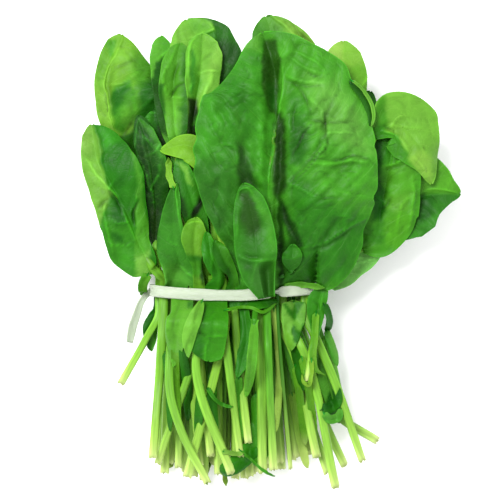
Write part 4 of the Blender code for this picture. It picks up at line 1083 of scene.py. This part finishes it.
         fold=(34, 26), curl=(-55, -48), radius=2.9, columns=4, wave=2, lobe=(14, 15),
         apron=(20, -2, -3, 14, 20), rib=0, pucker=2.2, puff=1.3, veins=0.5, rim=0.8,
         face=("#429c2b", "#4fa934"), areas=[
         ("#357f29", 9, [(-30, 80), (-24, 48), (-12, 26), (-2, 22), (2, 60), (-2, 86)]),
         ("#479d36", 5, [(-14, 40), (-4, 36), (8, 12), (4, 4), (-6, 18)]),
         ("#358b22", 6, [(-8, 130), (2, 134), (12, 120), (10, 96), (-2, 92), (-6, 110)]),
         ("#62b446", 3, [(0, 152), (8, 162), (14, 168), (18, 160), (16, 150)]),
         ("#70bb5c", 8, [(46, 134), (64, 132), (80, 112), (88, 86), (74, 86), (60, 98),
          (50, 106)]),
         ("#338720", 7, [(34, 74), (50, 66), (64, 54), (88, 46), (84, 28), (70, 4), (40, 4),
          (33, 30)]),
         ("#297319", 4, [(34, 114), (44, 112), (46, 92), (44, 80), (34, 78)]),
         ("#3d8f2a", 4, [(34, 124), (46, 122), (46, 108), (34, 106)]),
         ("#2b6019", 1.3, [(19, 158), (27, 158), (29, 146), (28.5, 126), (26, 111), (21.5, 112),
          (16, 130)]),
         ("#24691a", 2.5, [(20, 130), (27, 128), (27, 114), (22, 114)]),
         ("#2b6b1a", 3, [(1, 94), (7, 90), (12, 80), (13, 64), (8, 60), (3, 64), (2, 80)]),
         ("#225516", 1.8, [(2, 90), (5, 89), (9, 80), (12.5, 70), (10, 63), (5, 66), (3, 74)]),
         ("#37871f", 3, [(-1, 118), (5, 112), (7, 92), (1, 96)]),
         ("#2f7a1e", 3, [(31, 32), (40, 28), (45, 14), (46, 2), (31, 2)]),
         ("#1f4a12", 1.8, [(26, 114), (30, 112), (32, 100), (33, 92), (34, 80), (33, 66),
          (30, 58), (25.5, 60), (24.5, 76)]),
         ("#1e5314", 1.4, [(27, 60), (31, 58), (36, 46), (40, 36), (43, 27), (38, 26), (34, 30),
          (31, 42), (28, 50)]),
         ("#245c17", 1, [(27, 56), (30, 52), (31, 30), (31, 2), (27.5, 2), (28, 30)])], lines=[
         (-4.5, 5, 0, [(20, 160), (24, 142), (25, 125), (25, 108)]),
         (1.2, 0.7, -0.45, [(30.5, 140), (31, 130), (29, 118), (26.5, 105), (24.5, 90),
          (22.5, 70), (22, 56)]),
         (-3, 3, 0, [(30, 106), (30, 90), (29, 70), (27, 50), (29, 30), (29, 4)]),
         (-2.5, 4, 0, [(7, 94), (7, 80), (7, 62)]),
         (2, 3, -0.2, [(17, 118), (18, 95), (17, 70)]),
         (0.8, 0.8, -0.25, [(-10, 92), (-5, 92.5), (0, 90), (2, 80)]),
         (-1.4, 1.5, 0.45, [(33, 66), (42, 75), (52, 88), (57, 105), (61, 118), (66, 126)]),
         (1.2, 1.4, -0.3, [(36, 66), (45, 75), (55, 88), (60, 104)]),
         (-1.2, 1, 0.45, [(57, 105), (65, 105.5), (74, 106.5)]),
         (1, 0.8, -0.35, [(56, 99), (66, 99), (76, 99)]),
         (0.6, 0.8, -0.3, [(50, 79), (60, 79.5), (73, 82), (86, 81)]),
         (-0.7, 1.2, 0.25, [(50, 77), (60, 77), (73, 79.5), (84, 78)]),
         (1.2, 0.8, -0.3, [(33, 135), (45, 131), (58, 130)]),
         (-1, 1, 0.35, [(33, 132.5), (45, 128.5), (56, 128)]),
         (-1.2, 1, 0.45, [(48, 110), (45, 122), (38, 131)]),
         (-1, 1, 0.45, [(46, 107), (57, 105)]),
         (1, 1, -0.3, [(46, 122), (54, 114), (56, 106)]),
         (1, 0.8, -0.4, [(34, 68), (42, 64), (50, 60)]),
         (1.4, 0.9, -0.45, [(42, 27), (50, 28), (58, 31), (66, 36), (74, 42), (83, 46)]),
         (-1.4, 1.4, 0.35, [(44, 25), (58, 28.5), (74, 39.5)]),
         (0.8, 0.8, -0.25, [(62, 48), (75, 45)]),
         (0.6, 0.8, -0.25, [(66, 62), (74, 60), (82, 60)]),
         (-0.8, 1, 0.3, [(50, 55), (58, 58), (66, 58)]),
         (-1, 1.2, 0.35, [(40, 118), (37, 110), (37, 100)]),
         (1, 0.9, -0.3, [(40, 150), (50, 144), (58, 138)]),
         (1, 0.9, -0.25, [(36, 146), (46, 139), (60, 135)]),
         (0.8, 1, -0.25, [(68, 112), (74, 118), (76, 124)]),
         (-1.2, 0.8, 0.8, [(48.5, 104.5), (43, 98.5), (40, 90.5), (37, 85)]),
         (-1.2, 0.7, 0.9, [(57.5, 110), (57.5, 85)]),
         (-1.2, 0.7, 0.9, [(57.5, 102), (58.5, 94.5), (50.5, 81), (44, 74), (37, 67)]),
         (-1, 0.7, 0.6, [(46, 81.5), (64, 82.5), (80, 84), (88, 79)]),
         (-1.2, 0.8, 0.7, [(31, 55), (35, 40), (42, 28)]),
         (-1, 0.7, 0.6, [(45, 137), (52, 134), (60, 136)]),
         (0.7, 0.8, -0.4, [(-7, 20), (-2, 13), (2, 8), (8, 4)]),
         (0.7, 0.8, -0.35, [(-5, 41), (0, 30), (4, 15), (9, 6)])]),
]

for spec in MIDDLE_LEAVES:
    grow(spec, pile, step=1.0)


# =============================================================== leaves at the front
# The small leaves that lie in front of the rest, above the tape and hanging below it.
# Their flesh is the same, and the tape holds the hanging ones by a short stub.

# Their areas and lines too are partly their own colour and partly painted shade and light of
# their folds and creases.
FRONT_LEAVES = [
    leaf("olive_leaf", 2, -3, (-2, -116), [(-23, 13), (-25, 24), (-25, 36), (-24, 46)],
         (3, 4, 6, 8, 7, 5), (3, 4, 7, 8.5, 7, 5), heights=(4, 6, 4), tone="light",
         below=((-24, -47),), apron=(-22, -1, -3, 4, 4), rib=0, veins=0.2,
         face=("#6bb03a", "#78ba40"), areas=[
         ("#34851a", 2.6, [(-33, 24), (-17, 22), (-17, 12), (-30, 10)]),
         ("#4fa42d", 1.6, [(-28, 18), (-22, 18), (-21, 9), (-26, 10)]),
         ("#1c4a10", 1.4, [(-21, 22), (-18, 24), (-18, 2), (-22, 8)])], lines=[
         (0.8, 0.8, -0.35, [(-30, 42), (-25, 44), (-19, 42)])]),
    leaf("slim_front_leaf", 2, -1, (4, -106), [(-10, 10), (-14, 20), (-17, 37)],
         (4, 5, 5, 5, 4, 2), (4, 5, 5, 4, 3, 2), heights=(6, 8, 6), below=((-3, -50),),
         lobe=(2, 2), apron=(-13, -1, -6, 6.5, 5.5), rib=0, veins=0.2,
         face=("#35921d", "#3c9a1f"), lines=[
         (-0.6, 1, 0.5, [(-18.5, 20), (-19, 10), (-18, 2)]),
         (0.6, 1.2, -0.2, [(-14, 26), (-14, 14), (-12, 4)])]),
    leaf("low_strip_leaf", 2, 0, (9, -97), [(-1, 10), (-6, 19), (-12, 32)], (3, 4, 5, 5, 4, 2),
         (3, 4, 5, 5, 4, 2), heights=(6, 8, 6), lobe=(2, 2), apron=(-1, -1, -6, 5, 5), rib=0,
         veins=0.2, face=("#2c7717", "#42941f")),
    leaf("small_front_leaf", 2, 4, (36, -114), [(36, 12), (36.5, 20), (37, 29)],
         (1.5, 4.5, 6.5, 6.5, 4, 2), (1.5, 4, 6, 6.5, 5, 2.5), heights=(17, 16, 13), rib=0,
         face=("#2f7f1e", "#36881f"), girth=0.45, stalk="#2f7a1e"),
    leaf("cupped_front_leaf", 2, 3, (25, -114), [(16, 12), (14, 28), (12, 44), (6, 67)],
         (12, 13.5, 13, 12, 9, 5), (10.5, 12.5, 13, 12, 10, 6), heights=(14, 20, 16),
         fold=(15, 20), curl=(-10, 10), lobe=(2, 0), tone="dark", apron=(19, -4.5, -2, 3.5, 6.5),
         over_tape=True, rib=0, veins=0.25, pucker=0.8, rim=0.6, face=("#388a25", "#3f942a"),
         areas=[
         ("#2b5c1b", 2.6, [(3, 61), (10, 61), (15, 50), (17, 38), (13, 33), (6, 36), (3.5, 48)]),
         ("#357f28", 3, [(6, 34), (17, 34), (18, 22), (8, 22)]),
         ("#4ba034", 1.2, [(11, 62), (17, 56), (22, 44), (27, 28), (24, 24), (21, 36),
          (16, 50)]),
         ("#3b7d33", 3, [(11, 16), (23, 17), (27, 8), (24, 0), (18, -5), (11, 2)]),
         ("#296b1c", 2, [(4, 22), (11, 19), (12, 12), (7, 14)])], lines=[
         (1.4, 0.9, -0.4, [(4, 22), (8, 19.5), (14, 19), (26, 19.5)]),
         (-1.2, 1.2, 0.4, [(6, 24), (9, 22), (16, 21.5)]),
         (1, 0.8, -0.5, [(2, 58), (4, 63), (8, 64.5), (12, 61)]),
         (0.8, 0.8, -0.3, [(2, 52), (3, 44), (2, 32)]),
         (0.6, 0.8, -0.25, [(14, 17), (12, 10), (11, 3)])]),
    leaf("band_front_leaf", 2, -2, HANGING, [(-12, -10), (-13, -24), (-16, -44)],
         (8, 9, 9, 9, 9, 8), (9, 12, 15, 15, 13, 9), heights=(6, 8, 4), fold=(6, 6),
         apron=(-13, -2, -6, 8, 10), rib=0, pucker=1.5, face=("#43a022", "#3f9b22"), areas=[
         ("#2c7e17", 1.5, [(-23, -30), (-18, -34), (-20, -44), (-27, -40)])], lines=[
         (0.8, 0.8, -0.35, [(-17, -29), (-11, -29), (-5, -29)]),
         (1.5, 2.5, 0, [(-21, -10), (-26, -22), (-28, -38)]),
         (-1.5, 1, 0.9, [(-18.5, -8), (-19.5, -18), (-22, -30)]),
         (0.6, 0.7, -0.4, [(-17, -29), (-17.5, -38), (-18, -44)]),
         (-1, 1, 0.5, [(-22, -26), (-18.5, -29)]),
         (0.7, 1, -0.25, [(-16, -18), (-12, -14)])]),
    leaf("left_band_leaf", 2, -4, HANGING, [(-33, -13), (-36, -28), (-38, -48)],
         (7, 8, 7, 5, 4, 2), (7, 9, 8, 6, 4, 2), heights=(4, 6, 2), tone="light",
         apron=(-33, -2, -4, 7, 7), rib=0, pucker=1.2, face=("#70be48", "#68b842"), areas=[
         ("#3c8f2a", 1.2, [(-30, -6), (-18, -6), (-24, -10), (-30, -10.5)])], lines=[
         (-1, 1, 0.35, [(-35, -8), (-38, -18), (-38, -30)]),
         (0.6, 0.8, -0.2, [(-42, -12), (-42, -24), (-41, -36)]),
         (-0.6, 0.8, 0.5, [(-41.5, -24), (-41, -26)])]),
    leaf("centre_hanging_leaf", 2, 1, HANGING, [(6.5, -14), (8, -28), (2, -55)],
         (3, 4, 5, 5, 4, 2), (3, 4, 4, 4, 3, 2), heights=(3, 5, 2), apron=(6, -3, -3, 4, 4),
         rib=0, face=("#3a9628", "#2f8a1d"), lines=[
         (-0.8, 1.2, 0.4, [(3, -16), (3, -40)])]),
    leaf("narrow_hanging_leaf", 2, 2, HANGING, [(13, -18), (12, -36), (8, -67)],
         (2, 3, 3, 3, 3, 2), (2, 3, 3, 3, 3, 2), heights=(4, 6, 4), tone="light", rib=0,
         girth=0.7, stalk="#3f8f22", face=("#66b841", "#6cbc48")),
]

for spec in FRONT_LEAVES:
    grow(spec, pile, step=0.9)


# ============================================================ scraps between the stalks
# Torn bits of leaf, bent side shoots and split stalk ends that a bunch picks up as it is
# gathered and tied. Some lie loose on the stalks and round the tape, and the limp ones
# are pressed in among the stalks.

# Painted light and shade on the folds of the crumpled scrap: a pale wedge and darker parts
# between its folds.
CRUMPLE_LIGHT_AND_SHADE = (("#3b9220", 0.8, [(30, -7), (38, -19), (46, -7), (41, -7), (38, -12), (34, -7)]),
            ("#2a7a15", 0.8, [(36, -21), (41, -27), (43, -20), (46, -28), (40, -34), (35, -29)]),
            ("#7cc34e", 0.9, [(32, -19), (36, -27), (37, -38), (34, -36), (31, -27)]))
PALE_ENDS = (("#cfe9a0", 9.0, [(-60, -98), (80, -98), (80, -140), (-60, -140)]),)
EVEN, TORN = (1, 1, 1, 1, 1, 0.8), (1, 0.8, 1.1, 0.8, 1, 0.5)
LEAFY = (0.7, 0.9, 1, 1, 0.8, 0.5)
NOT_LAID = ("split_end_one", "split_end_two", "dry_scrap_one")
LIMP_SUNK, TORN_SUNK = 3.6, 2.8


def scrap(name, line, width, shape, height, face):
    """A strip of leaf along a line, laid on what is there or sunk a little into it."""
    widths = [width * share for share in shape]
    spec = leaf(name, -TIE_HEIGHT / PITCH_Z, 0, HANGING, line, widths, widths,
                heights=(height, height + 1, height), fold=(0, 0), curl=(-30, -30),
                radius=0.3, tone="dark" if "dark" in name else "light", wave=0.4, rim=0.2,
                rib=0.0, veins=0.2, girth=1.0, stalk=face[0], face=face,
                pucker=3.4 if "crumpled" in name else 2.0 if width > 3 else 1.0,
                areas=(CRUMPLE_LIGHT_AND_SHADE if "crumpled" in name
                       else PALE_ENDS if "limp_stalk" in name else ()))
    u = uneven(9, 0.4)
    blade, t, w = blade_form(spec, np.concatenate(
        [np.linspace(0, LAST_STATION, 26)[:-1], np.linspace(LAST_STATION, 0.999, 5)]), u, True)
    relief = blade_relief(spec, blade, t, u, w)
    if name not in NOT_LAID:
        sunk = LIMP_SUNK if "limp" in name else TORN_SUNK if name == "torn_leaf_low" else 0
        pile.settle(blade, 0.1 - sunk, np.ones(w.shape), slope=0.9)
    blade[..., 2] += np.maximum(LOWEST_BLADE - blade[..., 2], 0)
    pile.add(blade)
    start, second = blade[:2, len(u) // 2, :3]
    way = second - start
    path = start - way / np.linalg.norm(way) * np.array((1.2, 0.8, 0.3))[:, None]
    leaf_object(spec, path, blade, 0, t, relief)


for name, line, width, shape, height, face in (
        ("limp_blade_one", [(-33, -36), (-30, -58), (-30, -84)], 3.2, LEAFY, 18,
         ("#276f18", "#358a22")),
        ("limp_blade_two", [(-14, -52), (-14, -76), (-11, -100)], 3.4, LEAFY, 16,
         ("#2f7d1b", "#256a15")),
        ("limp_blade_three", [(3, -54), (3, -78), (4, -103)], 3, LEAFY, 24,
         ("#55a836", "#46992c")),
        ("limp_blade_four", [(14, -66), (15, -88), (13, -112)], 4.6, LEAFY, 22,
         ("#52a632", "#419424")),
        ("limp_blade_five", [(37, -32), (41, -47), (44, -64)], 3.2, LEAFY, 26,
         ("#2f8019", "#2a7517")),
        ("limp_blade_seven", [(-21, -58), (-22, -76), (-24, -94)], 3, LEAFY, 26,
         ("#3b8f26", "#33851e")),
        ("limp_stalk_four", [(25, -9), (28, -36), (28.5, -62), (26.5, -90)], 2.3, EVEN, 38,
         ("#b4de7c", "#bee686")),
        ("limp_stalk_five", [(37, -66), (41, -88), (47, -115)], 2.7, EVEN, 20,
         ("#8cc850", "#9cd462")),
        ("limp_stalk", [(43, -42), (48, -66), (52, -97)], 2.5, EVEN, 16, ("#78bd3a", "#66b030")),
        ("limp_stalk_two", [(-37.5, -36), (-37, -60), (-36, -86)], 2.6, EVEN, 12,
         ("#6fb535", "#63a82e")),
        ("limp_stalk_three", [(39, -48), (42.5, -72), (45.5, -100)], 2.6, EVEN, 12,
         ("#6fb535", "#63a82e")),
        ("limp_blade_six", [(-44, -40), (-41, -64), (-41, -90)], 2.6, LEAFY, 16,
         ("#3d9224", "#2f8019")),
        ("torn_leaf_low", [(13, -98), (6, -107), (-3, -113), (-9, -116)], 6,
         (0.8, 1, 1, 1, 0.9, 0.7), 17, ("#2c8413", "#3d9a1e")),
        ("light_leaf_below_tape", [(-20, -6), (-24, -16), (-28, -27), (-29, -42)], 4.6,
         (0.4, 0.8, 1, 1, 0.7, 0.35), 44, ("#80cc5a", "#84ce5e")),
        ("crumpled_scrap_below_tape", [(38, -6.5), (38, -14), (37, -25), (36, -38)], 8,
         (0.95, 1, 0.95, 0.75, 0.55, 0.3), 40, ("#7cc85a", "#88d066")),
        ("dark_strip_below_tape", [(-4, -8.5), (6, -8.5), (16, -8.5), (28, -7)], 2.8, EVEN, 44,
         ("#2c8416", "#3b9422")),
        ("strip_across_stalks", [(-5, -12), (4, -10.5), (12, -11), (18, -13.5), (27, -8)], 1,
         EVEN, 46, ("#63b52f", "#57ab28")),
        ("bent_shoot_right", [(52, -14), (51, -30), (50, -42), (52, -50), (58, -54)], 2.3,
         (1, 1, 1, 1, 0.8, 0.3), 38, ("#79bd38", "#63ad2c")),
        ("bent_shoot_middle", [(49, -44), (49, -54), (47, -60), (44, -58), (43, -53)], 1.3,
         (1, 1, 0.8, 1, 0.8, 0.5), 38, ("#9acc50", "#84be42")),
        ("dark_curl_right", [(56, -76), (62, -75), (66, -70), (67.5, -62)], 3.8,
         (1.1, 1.1, 1, 0.8, 0.5, 0.25), 24, ("#1c660f", "#2b7f18")),
        ("pale_curl_right", [(57, -78), (61, -82), (66, -81), (68, -75)], 3, LEAFY, 20,
         ("#6cbf5a", "#5fb54b")),
        ("dark_fold_right", [(57, -9), (60, -15), (61, -20), (59, -27)], 2.2, EVEN, 30,
         ("#24740f", "#2b7f18")),
        ("pale_fold_right", [(59, -26), (62, -35), (66, -48)], 2.8, LEAFY, 26,
         ("#6db95c", "#4fa63c")),
        ("tendril_middle", [(-17, -62), (-12, -69), (-6, -73), (-1, -74)], 1.1, EVEN, 34,
         ("#3a9124", "#4aa030")),
        ("tendril_low", [(4, -102), (12, -109), (19, -115), (26, -119)], 0.9, EVEN, 28,
         ("#4aa22b", "#4aa22b")),
        ("split_end_one", [(-17, -112), (-19, -120), (-18, -126)], 1.9, TORN, 14,
         ("#86b84a", "#a5c95f")),
        ("split_end_two", [(-7, -112), (-6, -121), (-5.5, -127)], 1.6, TORN, 14,
         ("#86b84a", "#a5c95f")),
        ("dry_scrap_one", [(-40, -110), (-43, -114), (-47, -116)], 2.6, TORN, 6,
         ("#a3c275", "#b8d08e")),
        ("dry_scrap_two", [(-7, -102), (0, -103.5), (6, -104)], 1.4, TORN, 30,
         ("#7fb85a", "#93c76a")),
        ("yellow_scrap", [(-38, 65), (-41, 74), (-41, 84)], 2.2, TORN, 52,
         ("#8ecb55", "#86c54c")),
        # A dark strip of leaf in the gap beside the great leaf, its darkness partly its own and
        # partly painted shade of the gap, with a pale rolled edge that is a painted highlight.
        ("dark_edge_behind", [(73, 130.5), (79, 124), (84, 116), (85.5, 110), (85, 104)], 2.3,
         LEAFY, 50, ("#236316", "#2b7019")),
        ("rolled_edge", [(73.5, 132), (81, 125.5), (86.5, 117), (87.5, 111), (86, 103)], 0.7,
         EVEN, 50, ("#6fb84c", "#82c95c")),
        ("pale_scrap_above_tape", [(32, 2.2), (41, 3.6), (49, 3.2), (57, 1.5)], 2, TORN, 44,
         ("#62b03c", "#7cc35a")),
        ("bud_beside_tape", [(-55, 10), (-58, 4), (-58.5, -4)], 3, (1, 1, 1, 1, 0.9, 0.8), 24,
         ("#6fbb3c", "#5cae30"))):
    scrap(name, line, width, shape, height, face)


# ================================================================== tape round the bunch
# A flat polyethylene tape, drawn tight round the stalks and twisted tight once, in front.
# Its loose end comes out from below at the left. Milky white and a little see-through.

BAND_SHEET = 0.5


def film(name):
    """Drawn polyethylene: smooth, milky, with lengthwise streaks from the drawing."""
    material, tree, shader = new_material(
        name, {"Roughness": 0.35, "IOR": 1.5, "Subsurface Weight": 0.3,
               "Subsurface Radius": (1.0, 1.0, 1.0), "Subsurface Scale": 0.002})
    flat = node(tree, "UVMap", uv_map="flat")
    # The streaks are about 0.6 mm wide and some centimetres long.
    stretch = node(tree, "Mapping", {"Vector": flat, "Scale": (0.6, 7.0, 1.0)})
    streaks = node(tree, "TexNoise", {"Vector": stretch, "Scale": 3.0, "Detail": 3.0})
    thin = node(tree, "MapRange", {"Value": streaks, "From Min": 0.35, "From Max": 0.65})
    colour = node(tree, "Mix", {"Factor": thin, "A": (*hex_colour("#8f9d80"), 1),
                                "B": (*hex_colour("#9aa294"), 1)}, data_type="RGBA")
    tree.links.new(colour.outputs["Result"], shader.inputs["Base Color"])
    relief = node(tree, "Bump", {"Height": streaks, "Strength": 0.5, "Distance": 0.0006})
    tree.links.new(relief.outputs["Normal"], shader.inputs["Normal"])
    return material


tape = film("drawn white polyethylene tape")


def tape_piece(name, mesh, places, flat):
    """Makes a strip of the tape, with its thickness and its finish."""
    piece = placed(name, mesh, places, flat, (tape,))
    film_thickness = piece.modifiers.new("film", "SOLIDIFY")
    film_thickness.thickness = BAND_SHEET * MM
    film_thickness.offset = -1
    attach(piece, "root")
    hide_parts("tie_band")


# The ring, spun round and given the tie's own outline. It sags in front, and is twisted
# to a narrow cord at one place.
RING_STEPS, RING_ROWS = 200, 9
TWIST_AT, TWIST_REACH = 26.5, 2.4
bm = spun_tube(RING_ROWS, RING_STEPS)
bmesh.ops.recalc_face_normals(bm, faces=bm.faces)
ring_mesh = mesh_of("tape_ring", bm)
co = points_of(ring_mesh)
angle = np.arctan2(co[:, 1], co[:, 0])
v = co[:, 2] / (RING_ROWS - 1) * 2 - 1
power = 2 / BAND_SQUARENESS
cos, sin = np.cos(angle), np.sin(angle)
extra = BAND_THICKNESS + 0.3 * bumps(angle * 20, v * 3, 4, 3) + 0.25 * np.cos(v * 4 + angle * 3)
x = (BAND_HALF_SPAN + extra) * np.copysign(np.abs(cos) ** power, cos)
z = (BAND_HALF_DEPTH + extra) * np.copysign(np.abs(sin) ** power, sin)
sag = np.where(np.abs(x) < BAND_HALF_SPAN, BAND_SAG * (1 - (x / BAND_HALF_SPAN) ** 2), 0)
front = smooth_step(z / 4)
twist = np.exp(-((x - TWIST_AT) / TWIST_REACH) ** 2) * front
narrow = (0.9 + 0.08 * bumps(x, 0 * x, 12, 8)) * (1 - 0.8 * twist)
y = v * BAND_WIDTH / 2 * narrow - sag + 1.4 * smooth_step((x - 2) / 24) * front
z += twist * 0.8 * np.sin(v * 3)
tape_piece("tape_ring", ring_mesh, np.stack([x, y, TIE_HEIGHT + z], 1), np.stack([x / 10, v], 1))

# The loose end: middle of each station, width across, and how far it tips over.
TAIL_ENDS = ((-53, -0.5, 24.5, 5.0, 0.3), (-56.5, -3, 25.5, 4.0, 0.6), (-60, -8, 25.5, 4.4, 1.0),
             (-62.5, -15, 24.5, 5.2, 1.2), (-65, -22, 23, 5.6, 1.1), (-66.5, -28, 21, 5.4, 1.0),
             (-67.5, -34, 20, 4.2, 1.0))
TAIL_ROWS, TAIL_COLUMNS = 25, 7
bm = bmesh.new()
sheet_grid(bm, TAIL_ROWS, TAIL_COLUMNS, 0)
tail_mesh = mesh_of("tape_tail", bm)
co = points_of(tail_mesh)
station = smooth_path(TAIL_ENDS, co[:, 1] / (TAIL_ROWS - 1))
v = co[:, 0] / (TAIL_COLUMNS // 2) - 1
way = np.gradient(smooth_path(TAIL_ENDS, np.linspace(0, 1, TAIL_ROWS)), axis=0)
way = way[co[:, 1].astype(int)]
way /= np.hypot(way[:, 0], way[:, 1])[:, None]
half = station[:, 3] / 2 * v
place = station[:, :3] + np.stack([-way[:, 1] * half, way[:, 0] * half,
                                   -0.35 * half * station[:, 4] + 0.6 * v * v], 1)
tape_piece("tape_tail", tail_mesh, place, np.stack([co[:, 1] / 8, v], 1))


# ================================================================= table, light, camera
# A pale matt table, which is no part of the bunch. One large soft light hangs above it to
# the left, and the camera looks straight down.

TABLE_HALF = 3.0
LIGHT_PLACE = (-0.6, 0.6, 1.8)
LENS, FILM_WIDTH = 190, 36
VIEW_MIDDLE, VIEW_WIDTH = (-0.0135, 0.0018, 0.06), 0.315

# Laminate: an even, matt white face, pressed on board.
laminate = new_material("white matt laminate", {
    "Base Color": (*hex_colour("#f8f8f8"), 1), "Roughness": 0.9, "Specular IOR Level": 0.1})[0]
bm = bmesh.new()
bmesh.ops.create_grid(bm, x_segments=1, y_segments=1, size=TABLE_HALF)
table_mesh = mesh_of("table", bm)
table_mesh.materials.append(laminate)
table = new_object("table", table_mesh)

key = bpy.data.lights.new("softbox", "AREA")
key.shape = "DISK"
key.size = 0.8
key.energy = 60
key_object = new_object("softbox", key)
key_object.location = LIGHT_PLACE
key_object.rotation_euler = (-Vector(LIGHT_PLACE)).to_track_quat("-Z", "Y").to_euler()

world = bpy.data.worlds.new("studio")
bpy.context.scene.world = world
world.use_nodes = True
background = world.node_tree.nodes["Background"]
background.inputs["Color"].default_value = (*hex_colour("#ffffff"), 1)
background.inputs["Strength"].default_value = 1.4

camera = bpy.data.cameras.new("camera")
camera.lens = LENS
camera.sensor_width = FILM_WIDTH
camera_object = new_object("camera", camera)
x, y, z = VIEW_MIDDLE
camera_object.location = (x, y, z + VIEW_WIDTH * LENS / FILM_WIDTH)
bpy.context.scene.camera = camera_object
bpy.context.scene.view_settings.view_transform = "Standard"
